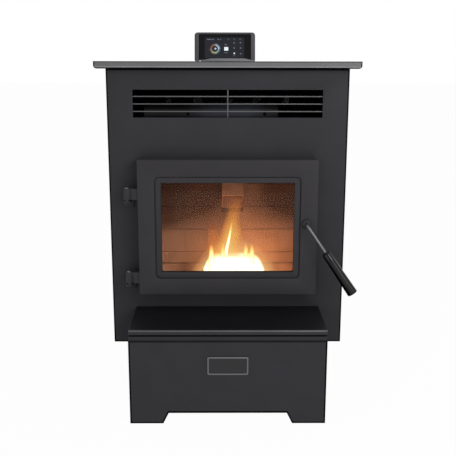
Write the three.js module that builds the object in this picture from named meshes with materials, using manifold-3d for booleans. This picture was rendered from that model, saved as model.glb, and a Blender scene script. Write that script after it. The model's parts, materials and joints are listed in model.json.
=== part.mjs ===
// Free-standing pellet stove on a pedestal, with its hopper, feed auger, firebox and blowers.
// Millimetres, +Z up, +X to the right seen from the front, and +Y towards the back.
// Inside the groups y = 0 is the front face of the body; the whole stove is centred on its footprint.

import * as THREE from "three";
import { mergeVertices } from "three/addons/utils/BufferGeometryUtils.js";
import Module from "manifold-3d";

const wasm = await Module();
wasm.setup();

// ---------------------------------------------------------------- driving sizes

const seat = 0.3; // left between pieces that rest on each other
const running = 0.3; // radial play of a pin or shaft in its hole

// body
const bodyWidth = 597;
const bodyBottom = 144.5;
const topHeight = 867.7;
const sheet = 2;
const bendRadius = 3;
const frontReturn = 20;
const panelLap = 12;
const rearFlange = 15;
const floorLip = 12;

// top plate
const topOverhang = 25;
const topRearOverhang = 12;
const topSheet = 3;
const topEdge = 17.5;
const topEdgeRadius = 8;
const topHem = 10;

// pedestal and hearth shelf
const pedestalWidth = 478.4;
const pedestalReach = 175.2;
const pedestalSetback = 30;
const pedestalHeight = 214;
const pedestalSheet = 3;
const pedestalFlange = 25;
const archHeight = 27.5;
const archFoot = 81.2;
const archSlant = 13.5;
const footFlange = 28;
const shelfHeight = 28.6;
const shelfLip = 14;
const shelfLipProud = 5.8;
const shelfInset = 1.8;
const shelfSheet = 3;
const lipRadius = 4.5;

// badge place on the pedestal
const badgeWidth = 99;
const badgeHeight = 45.8;
const badgeBottom = 128.2;
const badgeRim = 3.6;
const badgeThickness = 2.2;
const badgeField = 1.2;
const badgeRadius = 4;

// warm-air outlet
const grilleWidth = 468.4;
const grilleBottom = 731.8;
const grilleHeight = 67.8;
const grilleRod = 3;
const grilleRods = 3;
const grilleLowRod = 746.7;
const grillePitch = 18.25;
const grilleFixing = 8;
const deflectorLeft = -209;
const deflectorRight = 126;
const deflectorSetback = 28;
const deflectorBottom = 727;
const deflectorCrease = 750;
const deflectorTop = 766;
const deflectorLean = 12;
const deflectorSheet = 1.5;
const deflectorScrews = [-99.5, 92.9];
const deflectorScrewHeight = 739.5;
const screwRadius = 2.4;
const screwHead = 4.6;
const screwHeadHeight = 2.4;
const screwLength = 9;

// firebox
const fireboxWidth = 430;
const fireboxBottom = 258;
const fireboxTop = 796;
const fireboxBack = 245;
const fireboxUpperFront = 70;
const fireboxSlopeLow = 624;
const fireboxSlopeHigh = 660;
const fireboxWall = 4;
const mouthWidth = 410;
const mouthBottom = 310;
const mouthHeight = 298;
const keeperThickness = 5;
const keeperHeight = 22;
const standFoot = 35;
const standSheet = 3;
const standStrap = 30;

// heat-exchanger tubes
const tubeCount = 5;
const tubeRadius = 19;
const tubeWall = 2;
const tubePitch = 78;
const tubeHeight = 764;
const tubePlate = 2;
const tubeStub = 6;
const tubeSheetHeight = 50;
const tubeSheetMargin = 12;

// firebricks
const brickThickness = 12;
const brickTop = 600;
const brickRearBottom = 302;
const brickStandoff = 12;
const brickLedge = 3;
const brickHolderX = 150;
const brickHolderWidth = 24;
const brickSpacerBottom = 556;
const brickFront = 26;
const brickCourse = 66;
const brickLength = 132;
const brickJoint = 4;
const brickJointDepth = 3;

// burn pot, its stand and the ash pan
const feedX = 15;
const potWidth = 140;
const potDepth = 96;
const potFront = 72;
const potHeight = 40;
const potTaper = 10;
const potWall = 3;
const potRim = 10;
const potHoleRadius = 3;
const potHolePitch = 22;
const potHoleColumns = 5;
const potHoleRows = 3;
const potStandMargin = 15;
const potStandHeight = 47.4;
const panWidth = 392;
const panFront = 10;
const panRearGap = 30;
const panHeight = 37.7;
const panSheet = 1.5;
const panClearance = 3;

// air and ignition
const intakeRadius = 18;
const intakeWall = 1.5;
const intakeHeight = 286;
const intakeStub = 22;
const intakeInside = 8;
const igniterRadius = 5;
const igniterOffset = -45;
const igniterTail = 55;
const igniterPotGap = 4;

// feed auger: the screw climbs forward at this angle and drops pellets down the chute
const feedAngle = THREE.MathUtils.degToRad(45);
const chuteSetback = 24;
const chuteCrossZ = 546;
const chuteSide = 60;
const chuteWall = 2;
const chuteDrop = 90;
const chuteRise = 40;
const augerTubeRadius = 30;
const augerTubeWall = 2.5;
const augerTubeLength = 155;
const augerEndPlate = 4;
const augerShaftRadius = 6;
const augerFlightRadius = 25;
const augerFlightThickness = 3;
const augerPitch = 38;
const augerStepsPerTurn = 16;
const augerOverrun = 12;
const augerShaftTail = 18;
const gearboxWidth = 60;
const gearboxHeight = 56;
const gearboxDepth = 32;
const gearMotorRadius = 22;
const gearMotorLength = 34;

// hopper and lid
const hopperWidth = 350;
const hopperSetback = 30;
const hopperDepth = 170;
const hopperRearGap = 35;
const hopperSheet = 2;
const hopperShoulder = 700;
const hopperThroatWidth = 52;
const hopperThroatSetback = 102;
const hopperThroatDepth = 51;
const hopperThroat = 520;
const hopperFlange = 25;
const hopperFlangeHeight = 4.5;
const lidOverlap = 10;
const lidGap = 2;
const lidRadius = 6;
const lidSealHeight = 2.2;
const lidSealWidth = 8;
const lidKnobRadius = 13;
const lidKnobHeight = 24;
const lidKnobInset = 34;
const lidHingeRadius = 3.8;
const lidPinRadius = 2;
const lidHingeWidth = 70;
const lidKnuckle = 24;
const lidHingeLeaf = 2;
const lidHingeLeafDepth = 20;

// exhaust blower and flue
const exhaustX = 105;
const exhaustHeight = 300;
const exhaustDepth = 84;
const exhaustScroll = 46;
const exhaustGrowth = 12;
const exhaustOutletReach = 10;
const exhaustOutletHeight = 80;
const exhaustPort = 28;
const blowerSheet = 2;
const impellerRadius = 40;
const impellerBlades = 8;
const impellerBladeDepth = 20;
const impellerDisc = 3;
const impellerHub = 9;
const shaftRadius = 4;
const exhaustMotorRadius = 30;
const exhaustMotorLength = 58;
const flueRadius = 38;
const flueWall = 2;
const flueBend = 58;
const flueStub = 50;
const flueInsert = 8;

// convection blower
const fanX = -155;
const fanSetback = 69;
const fanHeight = 236;
const fanWidth = 110;
const fanScroll = 48;
const fanGrowth = 14;
const fanOutletReach = 90;
const fanOutletDepth = 84;
const fanInlet = 30;
const fanWheelRadius = 42;
const fanWheelWidth = 78;
const fanBlades = 20;
const fanBladeDepth = 8;
const fanBladeThickness = 1.4;
const fanRing = 2;
const fanMotorRadius = 31;
const fanMotorLength = 52;
const fanFoot = 60;

// electrics
const controlBoxDepth = 38;
const controlBoxLength = 120;
const controlBoxHeight = 150;
const controlBoxBack = 60;
const controlBoxBottom = 540;
const inletX = -230;
const inletHeight = 200;
const inletWidth = 28;
const inletTall = 20;
const inletFlange = 4;
const inletDepth = 26;
const switchRadius = 24;
const switchDepth = 18;
const switchY = 200;
const switchHeight = 420;
const louvreRows = 8;
const louvrePitch = 12;
const louvreWidth = 80;
const louvreHeight = 5;
const louvreX = 120;
const louvreBottom = 380;

// display on the top plate
const displayX = -7;
const displayY = 163;
const displayWidth = 158;
const displayHeight = 68;
const displayDepth = 26;
const displayRadius = 9;
const displayTilt = THREE.MathUtils.degToRad(12);
const screenWidth = 133;
const screenHeight = 65.5;
const screenTopMargin = 5;
const screenRecess = 2.5;
const screenThickness = 2;
const bracketSheet = 1.5;
const bracketX = 0;
const bracketWidth = 140;
const bracketSlope = 26;
const bracketLip = 7.2;
const bracketReach = 7;

// door
const doorWidth = 445;
const doorBottom = 290.6;
const doorHeight = 341.9;
const doorFront = 48;
const doorDepth = 44;
const doorRadius = 2.5;
const doorWall = 4;
const doorFace = 6.5;
const doorBackPlate = 8;
const panelWidth = 362.4;
const panelBottom = 332.4;
const panelHeight = 259.3;
const panelRecess = 2.5;
const panelRadius = 14;
const panelGroove = 3;
const panelGrooveDepth = 2;
const windowWidth = 330.5;
const windowBottom = 348.1;
const windowHeight = 227.7;
const glassLap = 12;
const glassThickness = 5;
const tapeThickness = 1.5;
const tapeWidth = 10;
const retainerSheet = 2;
const retainerWidth = 12;
const gasketRadius = 4.2;
const gasketOffset = 7;
const gasketGrip = 1;

// door hinges
const hingeX = -249.3;
const hingeY = -35;
const knuckleRadius = 8.6;
const knuckleHeight = 27.8;
const knuckleBottoms = { upper: 532.4, lower: 318 };
const hingePinRadius = 4;
const hingeBlockDepth = 14;
const hingeWebDepth = 7;
const hingeWebReach = 3.8;
const lugThickness = 5;
const lugDrop = 3;
const lugPad = 4;
const lugPadWidth = 26;
const lugPadHeight = 22;
const pinHeadRadius = 6.5;
const pinHeadHeight = 4.5;

// latch
const latchX = 195;
const latchHeight = 474;
const rodRadius = 4;
const rodTail = 19;
const rodReach = 68;
const rodBend = 14;
const handleFall = THREE.MathUtils.degToRad(55.6);
const handleLean = THREE.MathUtils.degToRad(6.5);
const gripStart = 81;
const gripLength = 123.4;
const gripBore = 32;
const gripStartRadius = 10.6;
const gripEndRadius = 12.9;
const gripEndEdge = 0.8;
const latchFinger = 22;
const latchFingerWidth = 9;
const latchFingerThickness = 5;
const bushingRadius = 10;
const bushingHeight = 8;
const bushingNeck = 6.7;

// ---------------------------------------------------------------- sizes worked out from them

const hopperFront = fireboxBack + hopperSetback;
const hopperBack = hopperFront + hopperDepth;
const hopperThroatFront = fireboxBack + hopperThroatSetback;
const bodyDepth = hopperBack + hopperRearGap;
const bodyHalf = bodyWidth / 2;
const panelTop = topHeight - topSheet - seat;
const panelRear = bodyDepth - sheet - seat;
const plateHalf = bodyHalf + topOverhang;
const floorTop = bodyBottom + sheet;
const pedestalFront = -pedestalReach;
const pedestalBack = bodyDepth - pedestalSetback;
const pedestalRise = bodyBottom - seat;
const shelfBottom = pedestalHeight + seat;
const shelfTop = shelfBottom + shelfHeight;
const fireboxFront = sheet + seat;
const fireboxFloor = fireboxBottom + fireboxWall;
const mouthHalf = mouthWidth / 2;
const potStandTop = fireboxFloor + seat + potStandHeight;
const potStandFront = potFront - potStandMargin;
const potStandBack = potFront + potDepth + potStandMargin;
const potStandHalf = potWidth / 2 + potStandMargin;
const chuteCrossY = fireboxBack + chuteSetback;
const fanY = fireboxBack + fanSetback;
const brickRearBack = fireboxBack - fireboxWall - brickStandoff;
const brickRearFace = brickRearBack - brickThickness;
const panDepth = fireboxBack - panRearGap - panFront;
const chuteDirection = new THREE.Vector3(0, -Math.sin(feedAngle), -Math.cos(feedAngle));
const augerDirection = new THREE.Vector3(0, -Math.cos(feedAngle), Math.sin(feedAngle));
const chuteCross = new THREE.Vector3(feedX, chuteCrossY, chuteCrossZ);
const augerTop = along(chuteCross, augerDirection, -chuteSide / 2 - seat);
const augerFoot = along(augerTop, augerDirection, -augerTubeLength);
const hopperTop = panelTop;
const hopperRebate = hopperTop - seat - lidSealHeight;
const lidHalf = hopperWidth / 2 + lidOverlap;
const lidFront = hopperFront - lidOverlap;
const lidBack = hopperBack + lidOverlap;
const lidHingeY = lidBack + lidGap + lidHingeRadius;
const lidHingeZ = topHeight + seat + lidHingeRadius;
const exhaustFront = fireboxBack + seat;
const exhaustRear = exhaustFront + exhaustDepth;
const flueY = exhaustFront + exhaustDepth / 2;
const flueZ = exhaustHeight - exhaustScroll - exhaustGrowth + exhaustOutletHeight / 2;
const exhaustOutletX = exhaustX + exhaustScroll + exhaustOutletReach;
const flueX = exhaustOutletX + flueInsert + flueBend;
const rearReach = bodyDepth + flueStub;
const frontReach = pedestalReach + shelfLipProud;
const doorHalf = doorWidth / 2;
const doorBack = -doorFront + doorDepth;
const glassFront = -doorFront + doorFace + seat + tapeThickness + seat;
const gasketCentre = -seat - gasketRadius;
const handleDirection = new THREE.Vector3(
  Math.cos(handleFall) * Math.cos(handleLean),
  -Math.sin(handleLean),
  -Math.sin(handleFall) * Math.cos(handleLean),
);

// ---------------------------------------------------------------- helpers

function along(point, direction, distance) {
  return point.clone().addScaledVector(direction, distance);
}

function block(x0, x1, y0, y1, z0, z1) {
  const box = new THREE.BoxGeometry(x1 - x0, y1 - y0, z1 - z0);
  return box.translate((x0 + x1) / 2, (y0 + y1) / 2, (z0 + z1) / 2);
}

// Round bar between two points.
function bar(from, to, radius, sides = 24) {
  const start = new THREE.Vector3(...from);
  const end = new THREE.Vector3(...to);
  const length = start.distanceTo(end);
  const direction = end.clone().sub(start).normalize();
  const turn = new THREE.Quaternion().setFromUnitVectors(new THREE.Vector3(0, 1, 0), direction);
  const cylinder = new THREE.CylinderGeometry(radius, radius, length, sides);
  cylinder.applyQuaternion(turn);
  return cylinder.translate(...start.add(end).multiplyScalar(0.5).toArray());
}

// Closed outline through the corner points, each corner eased by its own set-back.
function outline(points, ease = 0) {
  const shape = new THREE.Shape();
  const corners = points.map(([x, y]) => new THREE.Vector2(x, y));
  corners.forEach((corner, i) => {
    const setback = Array.isArray(ease) ? ease[i] : ease;
    const before = corners.at(i - 1).clone().sub(corner).setLength(setback).add(corner);
    const after = corners[(i + 1) % corners.length].clone().sub(corner).setLength(setback).add(corner);
    if (i === 0) {
      shape.moveTo(before.x, before.y);
    } else {
      shape.lineTo(before.x, before.y);
    }
    if (setback > 0) {
      shape.quadraticCurveTo(corner.x, corner.y, after.x, after.y);
    }
  });
  shape.closePath();
  return shape;
}

function rectangle(x0, x1, y0, y1, ease = 0) {
  return outline([[x0, y0], [x1, y0], [x1, y1], [x0, y1]], ease);
}

function circle(x, y, radius) {
  return new THREE.Shape().absarc(x, y, radius, 0, 2 * Math.PI);
}

function withHoles(shape, holes) {
  shape.holes.push(...holes);
  return shape;
}

// Closed outline moved inwards by a distance; the points run anticlockwise.
function inset(points, distance) {
  return points.map((point, i) => {
    const corner = new THREE.Vector2(...point);
    const into = corner.clone().sub(new THREE.Vector2(...points.at(i - 1))).normalize();
    const out = new THREE.Vector2(...points[(i + 1) % points.length]).sub(corner).normalize();
    const turn = into.cross(out);
    const shift = out.clone().sub(into).multiplyScalar(distance / turn);
    return [corner.x + shift.x, corner.y + shift.y];
  });
}

// Outline of a folded sheet: the path is its outer face, and the metal lies on the left of it.
function folded(path, thickness, radius) {
  const points = path.map(([x, y]) => new THREE.Vector2(x, y));
  const inner = [];
  const outerEase = [];
  const innerEase = [];
  points.forEach((point, i) => {
    const into = i > 0 ? point.clone().sub(points[i - 1]).normalize() : null;
    const out = i < points.length - 1 ? points[i + 1].clone().sub(point).normalize() : null;
    if (into && out) {
      const turn = into.cross(out);
      const shift = out.clone().sub(into).multiplyScalar(thickness / turn);
      inner.push([point.x + shift.x, point.y + shift.y]);
      outerEase.push(turn > 0 ? radius : radius - thickness);
      innerEase.push(turn > 0 ? radius - thickness : radius);
    } else {
      const heading = into ?? out;
      inner.push([point.x - heading.y * thickness, point.y + heading.x * thickness]);
      outerEase.push(0);
      innerEase.push(0);
    }
  });
  return outline([...path, ...inner.reverse()], [...outerEase, ...innerEase.reverse()]);
}

function extrude(shape, depth, curveSegments) {
  return new THREE.ExtrudeGeometry(shape, { depth, bevelEnabled: false, curveSegments });
}

// The shape's own axes are X and Y.
function extrudeZ(shape, z0, z1, curveSegments = 4) {
  return extrude(shape, z1 - z0, curveSegments).translate(0, 0, z0);
}

// The shape's own axes are X and Z.
function extrudeY(shape, y0, y1, curveSegments = 4) {
  return extrude(shape, y1 - y0, curveSegments).rotateX(Math.PI / 2).translate(0, y1, 0);
}

// The shape's own axes are Y and Z.
function extrudeX(shape, x0, x1, curveSegments = 4) {
  const turn = new THREE.Matrix4().makeBasis(
    new THREE.Vector3(0, 1, 0),
    new THREE.Vector3(0, 0, 1),
    new THREE.Vector3(1, 0, 0),
  );
  return extrude(shape, x1 - x0, curveSegments).applyMatrix4(turn).translate(x0, 0, 0);
}

function enclosedVolume(positions, index) {
  let volume = 0;
  for (let i = 0; i < index.length; i += 3) {
    const [a, b, c] = [0, 1, 2].map((k) => new THREE.Vector3(...positions[index[i + k]]));
    volume += a.dot(b.cross(c)) / 6;
  }
  return volume;
}

// Closed body from its points and triangles, turned so that its faces point outwards.
function body(positions, index) {
  if (enclosedVolume(positions, index) < 0) {
    index.reverse();
  }
  const geometry = new THREE.BufferGeometry();
  geometry.setAttribute("position", new THREE.Float32BufferAttribute(positions.flat(), 3));
  geometry.setIndex(index);
  geometry.computeVertexNormals();
  return geometry;
}

// Rings of equally many points, joined one to the next.
function joinRings(rings, closed) {
  const size = rings[0].length;
  const index = [];
  const spans = closed ? rings.length : rings.length - 1;
  for (let i = 0; i < spans; i += 1) {
    for (let j = 0; j < size; j += 1) {
      const a = i * size + j;
      const b = i * size + ((j + 1) % size);
      const c = ((i + 1) % rings.length) * size + j;
      const d = ((i + 1) % rings.length) * size + ((j + 1) % size);
      index.push(a, b, d, a, d, c);
    }
  }
  if (!closed) {
    const last = (rings.length - 1) * size;
    for (let j = 1; j < size - 1; j += 1) {
      index.push(0, j + 1, j, last, last + j, last + j + 1);
    }
  }
  return body(rings.flat(), index);
}

// Profile of [inset, height] points carried round a rectangle and mitred at its corners.
function rectangleRing(x0, x1, y0, y1, profile) {
  const corners = [[x0, y0, 1, 1], [x1, y0, -1, 1], [x1, y1, -1, -1], [x0, y1, 1, -1]];
  const rings = corners.map(([x, y, inX, inY]) => (
    profile.map(([depth, height]) => [x + inX * depth, y + inY * depth, height])
  ));
  return joinRings(rings, true);
}

// Round bar along a path that bends in the plane across its normal.
function sweep(points, normal, radius, sides) {
  const rings = points.map((point, i) => {
    const before = points[Math.max(i - 1, 0)];
    const after = points[Math.min(i + 1, points.length - 1)];
    const tangent = after.clone().sub(before).normalize();
    const across = new THREE.Vector3().crossVectors(normal, tangent);
    return steps(sides).map((j) => {
      const angle = (2 * Math.PI * j) / sides;
      const rim = along(along(point, across, radius * Math.cos(angle)), normal, radius * Math.sin(angle));
      return rim.toArray();
    });
  });
  return joinRings(rings, false);
}

// Points of a path from start to end that turns at a corner, with its curve beginning a set-back before it.
function bentPath(start, corner, end, setback, segments) {
  const before = start.clone().sub(corner).setLength(setback).add(corner);
  const after = end.clone().sub(corner).setLength(setback).add(corner);
  const curve = new THREE.QuadraticBezierCurve3(before, corner, after);
  return [start, ...curve.getPoints(segments), end];
}

// Stack of level rectangles [x0, x1, y0, y1, z], joined into a straight-sided funnel.
function funnel(levels) {
  const rings = levels.map(([x0, x1, y0, y1, z]) => [[x0, y0, z], [x1, y0, z], [x1, y1, z], [x0, y1, z]]);
  return joinRings(rings, false);
}

// Profile of [radius, height] points turned about Z; one that starts off the axis is closed on itself.
function turned(profile, sides = 24) {
  const path = profile[0][0] > 0 ? [...profile, profile[0]] : profile;
  const points = path.map(([radius, height]) => new THREE.Vector2(radius, height));
  const lathe = new THREE.LatheGeometry(points, sides).rotateX(Math.PI / 2);
  const bare = corners(lathe);
  const positions = [];
  for (let i = 0; i < bare.attributes.position.count; i += 1) {
    positions.push(new THREE.Vector3().fromBufferAttribute(bare.attributes.position, i).toArray());
  }
  return body(positions, Array.from(bare.index.array));
}

// The geometry with shared corners merged and nothing but their positions.
function corners(geometry) {
  const bare = geometry.clone();
  bare.deleteAttribute("normal");
  bare.deleteAttribute("uv");
  const merged = mergeVertices(bare, 1e-4);
  const kept = [];
  for (let i = 0; i < merged.index.count; i += 3) {
    const [a, b, c] = [0, 1, 2].map((k) => merged.index.getX(i + k));
    if (a !== b && b !== c && c !== a) {
      kept.push(a, b, c);
    }
  }
  merged.setIndex(kept);
  return merged;
}

function solidOf(geometry) {
  const merged = corners(geometry);
  return new wasm.Manifold(new wasm.Mesh({
    numProp: 3,
    vertProperties: new Float32Array(merged.attributes.position.array),
    triVerts: new Uint32Array(merged.index.array),
  }));
}

function geometryOf(solid) {
  const mesh = solid.getMesh();
  const geometry = new THREE.BufferGeometry();
  geometry.setAttribute("position", new THREE.BufferAttribute(new Float32Array(mesh.vertProperties), 3));
  geometry.setIndex(new THREE.BufferAttribute(new Uint32Array(mesh.triVerts), 1));
  geometry.computeVertexNormals();
  return geometry;
}

function cut(piece, ...tools) {
  return geometryOf(tools.reduce((rest, tool) => rest.subtract(solidOf(tool)), solidOf(piece)));
}

function join(...pieces) {
  return geometryOf(pieces.map(solidOf).reduce((whole, piece) => whole.add(piece)));
}

function common(first, second) {
  return geometryOf(solidOf(first).intersect(solidOf(second)));
}

function steps(count) {
  return Array.from({ length: count }, (_, i) => i);
}

// Scroll-shaped blower casing: it grows round its centre and leaves at the foot, towards +X.
function scroll(start, growth, outletReach, outletHeight, wall) {
  const tongue = THREE.MathUtils.degToRad(28);
  const sweep = THREE.MathUtils.degToRad(242);
  const turns = 16;
  const points = steps(turns + 1).map((i) => {
    const radius = start + (growth * i) / turns - wall;
    const angle = tongue + (sweep * i) / turns;
    return [radius * Math.cos(angle), radius * Math.sin(angle)];
  });
  const foot = -(start + growth - wall);
  const reach = start + outletReach;
  points.push([reach, foot], [reach, foot + outletHeight - 2 * wall]);
  return points;
}

// ---------------------------------------------------------------- materials

function finish(color, roughness, metalness) {
  return new THREE.MeshStandardMaterial({ color, roughness, metalness });
}

const blackPaint = finish(0x2e2e32, 0.62, 0.2);
const castPaint = finish(0x333336, 0.7, 0.25);
const greyPaint = finish(0x646368, 0.5, 0.3);
const darkSteel = finish(0x2a2725, 0.7, 0.6);
const galvanised = finish(0xa8aaac, 0.45, 0.8);
const brightSteel = finish(0xb5b4b0, 0.3, 0.9);
const firebrick = finish(0x9c7558, 0.95, 0);
const rope = finish(0x55524e, 0.95, 0);
const glossBlack = finish(0x111112, 0.12, 0);
const blackPlastic = finish(0x1d1d1f, 0.5, 0);
const glass = finish(0x30241c, 0.05, 0);
const aluminium = finish(0xc2c3c4, 0.35, 0.85);

// ---------------------------------------------------------------- scene

const stove = new THREE.Group();
stove.position.y = (frontReach - rearReach) / 2;

function part(name, geometry, material, parent = stove) {
  const mesh = new THREE.Mesh(geometry, material);
  mesh.name = name;
  parent.add(mesh);
  return mesh;
}

function group(x, y, z, parent = stove) {
  const holder = new THREE.Group();
  holder.position.set(x, y, z);
  parent.add(holder);
  return holder;
}

// ---------------------------------------------------------------- pedestal and shelf

function pedestal() {
  const half = pedestalWidth / 2;
  const side = [
    [pedestalFront, 0],
    [pedestalBack, 0],
    [pedestalBack, pedestalRise],
    [-seat, pedestalRise],
    [-seat, pedestalHeight],
    [pedestalFront, pedestalHeight],
  ];
  const frontOpening = block(
    -half + pedestalFlange, half - pedestalFlange,
    pedestalFront + pedestalFlange, -seat - pedestalFlange,
    pedestalHeight - 2 * pedestalSheet, pedestalHeight + pedestalSheet,
  );
  const rearOpening = block(
    -half + pedestalFlange, half - pedestalFlange,
    pedestalFlange, pedestalBack - pedestalFlange,
    pedestalRise - 2 * pedestalSheet, pedestalRise + pedestalSheet,
  );
  const floorOpening = block(
    -half + footFlange, half - footFlange,
    pedestalFront + footFlange, pedestalBack - footFlange,
    -pedestalSheet, 2 * pedestalSheet,
  );
  const arch = (from, to) => outline([
    [from + archFoot, -pedestalSheet],
    [to - archFoot, -pedestalSheet],
    [to - archFoot, 0],
    [to - archFoot - archSlant, archHeight],
    [from + archFoot + archSlant, archHeight],
    [from + archFoot, 0],
  ]);
  return cut(
    extrudeX(outline(side), -half, half),
    extrudeX(outline(inset(side, pedestalSheet)), -half + pedestalSheet, half - pedestalSheet),
    frontOpening,
    rearOpening,
    floorOpening,
    extrudeY(arch(-half, half), pedestalFront - pedestalSheet, pedestalBack + pedestalSheet),
    extrudeX(arch(pedestalFront, pedestalBack), -half - pedestalSheet, half + pedestalSheet),
  );
}

function hearthShelf() {
  const half = pedestalWidth / 2 - shelfInset;
  const lipFront = pedestalFront - shelfLipProud;
  const lipFoot = shelfTop - shelfLip;
  const side = outline([
    [-seat, shelfBottom],
    [-seat, shelfTop],
    [lipFront, shelfTop],
    [lipFront, lipFoot],
    [pedestalFront, lipFoot],
    [pedestalFront, shelfBottom],
  ], [0, 0, lipRadius, lipRadius, 0, 0]);
  const hollow = block(
    -half + shelfSheet, half - shelfSheet,
    pedestalFront + shelfSheet, -seat - shelfSheet,
    shelfBottom - shelfSheet, shelfTop - shelfSheet,
  );
  return cut(extrudeX(side, -half, half, 6), hollow);
}

function badgePlace() {
  const half = badgeWidth / 2;
  const top = badgeBottom + badgeHeight;
  const back = pedestalFront - seat;
  const window = rectangle(
    -half + badgeRim, half - badgeRim, badgeBottom + badgeRim, top - badgeRim, badgeRadius / 2,
  );
  const frame = withHoles(rectangle(-half, half, badgeBottom, top, badgeRadius), [window]);
  const field = rectangle(
    -half + badgeRim + seat, half - badgeRim - seat,
    badgeBottom + badgeRim + seat, top - badgeRim - seat, badgeRadius / 2,
  );
  part("badge_frame", extrudeY(frame, back - badgeThickness, back), brightSteel);
  part("badge_field", extrudeY(field, back - badgeField, back), blackPaint);
}

// ---------------------------------------------------------------- body panels

function mouth() {
  return rectangle(-mouthHalf, mouthHalf, mouthBottom, mouthBottom + mouthHeight);
}

function frontPanel() {
  const section = folded([
    [-bodyHalf, frontReturn],
    [-bodyHalf, 0],
    [bodyHalf, 0],
    [bodyHalf, frontReturn],
  ], sheet, bendRadius);
  const grille = rectangle(-grilleWidth / 2, grilleWidth / 2, grilleBottom, grilleBottom + grilleHeight);
  return cut(
    extrudeZ(section, bodyBottom, panelTop),
    extrudeY(grille, -sheet, 2 * sheet),
    extrudeY(mouth(), -sheet, 2 * sheet),
  );
}

// The right-hand panel; the left-hand one is its mirror image.
function sidePanel(hand) {
  const lapFace = bodyHalf - sheet - seat;
  const section = [
    [lapFace - sheet, frontReturn - panelLap],
    [lapFace, frontReturn - panelLap],
    [lapFace, frontReturn + seat],
    [bodyHalf, frontReturn + seat],
    [bodyHalf, panelRear],
    [bodyHalf - rearFlange, panelRear],
    [bodyHalf - rearFlange, panelRear - sheet],
    [bodyHalf - sheet, panelRear - sheet],
    [bodyHalf - sheet, frontReturn + panelLap],
    [lapFace - sheet, frontReturn + panelLap],
  ];
  const eased = [0, 0, 0, 0, bendRadius, 0, 0, bendRadius - sheet, 0, 0];
  return extrudeZ(outline(section.map(([x, y]) => [hand * x, y]), eased), bodyBottom, panelTop);
}

function rearPanel() {
  const front = bodyDepth - sheet;
  const through = (x0, x1, z0, z1) => block(x0, x1, front - sheet, bodyDepth + sheet, z0, z1);
  const louvres = steps(louvreRows).flatMap((row) => [-louvreX, louvreX].map((x) => {
    const bottom = louvreBottom + row * louvrePitch;
    return through(x - louvreWidth / 2, x + louvreWidth / 2, bottom, bottom + louvreHeight);
  }));
  const inletHole = through(
    inletX - inletWidth / 2 - seat, inletX + inletWidth / 2 + seat,
    inletHeight - inletTall / 2 - seat, inletHeight + inletTall / 2 + seat,
  );
  const pipeHole = (x, z, radius) => bar([x, front - sheet, z], [x, bodyDepth + sheet, z], radius + seat, 28);
  return cut(
    block(-bodyHalf, bodyHalf, front, bodyDepth, bodyBottom, panelTop),
    pipeHole(flueX, flueZ, flueRadius),
    pipeHole(feedX, intakeHeight, intakeRadius),
    inletHole,
    ...louvres,
  );
}

// Pan with a low lip all round, between the body panels.
function cabinetFloor() {
  const half = bodyHalf - 2 * sheet - 2 * seat;
  const front = sheet + seat;
  const back = panelRear - sheet - seat;
  const pan = block(-half, half, front, back, bodyBottom, floorTop + floorLip);
  const inside = block(-half + sheet, half - sheet, front + sheet, back - sheet, floorTop, floorTop + 2 * floorLip);
  return cut(pan, inside);
}

function topPlate() {
  const front = -topOverhang;
  const back = bodyDepth + topRearOverhang;
  const foot = topHeight - topEdge;
  const lidHole = rectangle(
    -lidHalf - lidGap, lidHalf + lidGap, lidFront - lidGap, lidBack + lidGap, lidRadius + lidGap,
  );
  const plate = extrudeZ(
    withHoles(rectangle(-plateHalf, plateHalf, front, back), [lidHole]), topHeight - topSheet, topHeight,
  );
  const edge = outline([
    [0, foot],
    [topHem, foot],
    [topHem, foot + topSheet],
    [topSheet, foot + topSheet],
    [topSheet, topHeight - topSheet / 2],
    [0, topHeight - topSheet / 2],
  ], [topEdgeRadius, 0, 0, topEdgeRadius - topSheet, 0, 0]);
  const profile = edge.getPoints(5).slice(0, -1).map((point) => point.toArray());
  return join(plate, rectangleRing(-plateHalf, plateHalf, front, back, profile));
}

// ---------------------------------------------------------------- warm-air outlet

function airGrille() {
  const y = sheet + seat + grilleRod / 2;
  const end = grilleWidth / 2 + grilleFixing;
  const rods = steps(grilleRods).map((i) => {
    const z = grilleLowRod + i * grillePitch;
    return bar([-end, y, z], [end, y, z], grilleRod / 2, 8);
  });
  const low = grilleBottom - grilleFixing;
  const high = grilleBottom + grilleHeight + grilleFixing;
  const upright = bar([0, y, low], [0, y, high], grilleRod / 2, 8);
  const fixings = [-1, 1].map((side) => {
    const inner = side * (end - grilleFixing + seat);
    const outer = side * (end + grilleRod);
    return block(Math.min(inner, outer), Math.max(inner, outer), sheet + seat, y + grilleRod / 2, low, high);
  });
  return join(...rods, upright, ...fixings);
}

function airDeflector() {
  const back = fireboxUpperFront - seat;
  const section = folded([
    [deflectorSetback + deflectorLean, deflectorTop],
    [deflectorSetback, deflectorCrease],
    [deflectorSetback, deflectorBottom],
    [back, deflectorBottom],
  ], deflectorSheet, deflectorSheet);
  const holes = deflectorScrews.map((x) => bar(
    [x, deflectorSetback - deflectorSheet, deflectorScrewHeight],
    [x, deflectorSetback + 2 * deflectorSheet, deflectorScrewHeight],
    screwRadius + running, 12,
  ));
  return cut(extrudeX(section, deflectorLeft, deflectorRight), ...holes);
}

function deflectorScrew() {
  return turned([
    [0, -screwLength],
    [screwRadius, -screwLength],
    [screwRadius, seat],
    [screwHead, seat],
    [screwHead, seat + screwHeadHeight / 2],
    [screwHead / 2, seat + screwHeadHeight],
    [0, seat + screwHeadHeight],
  ], 14);
}

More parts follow.
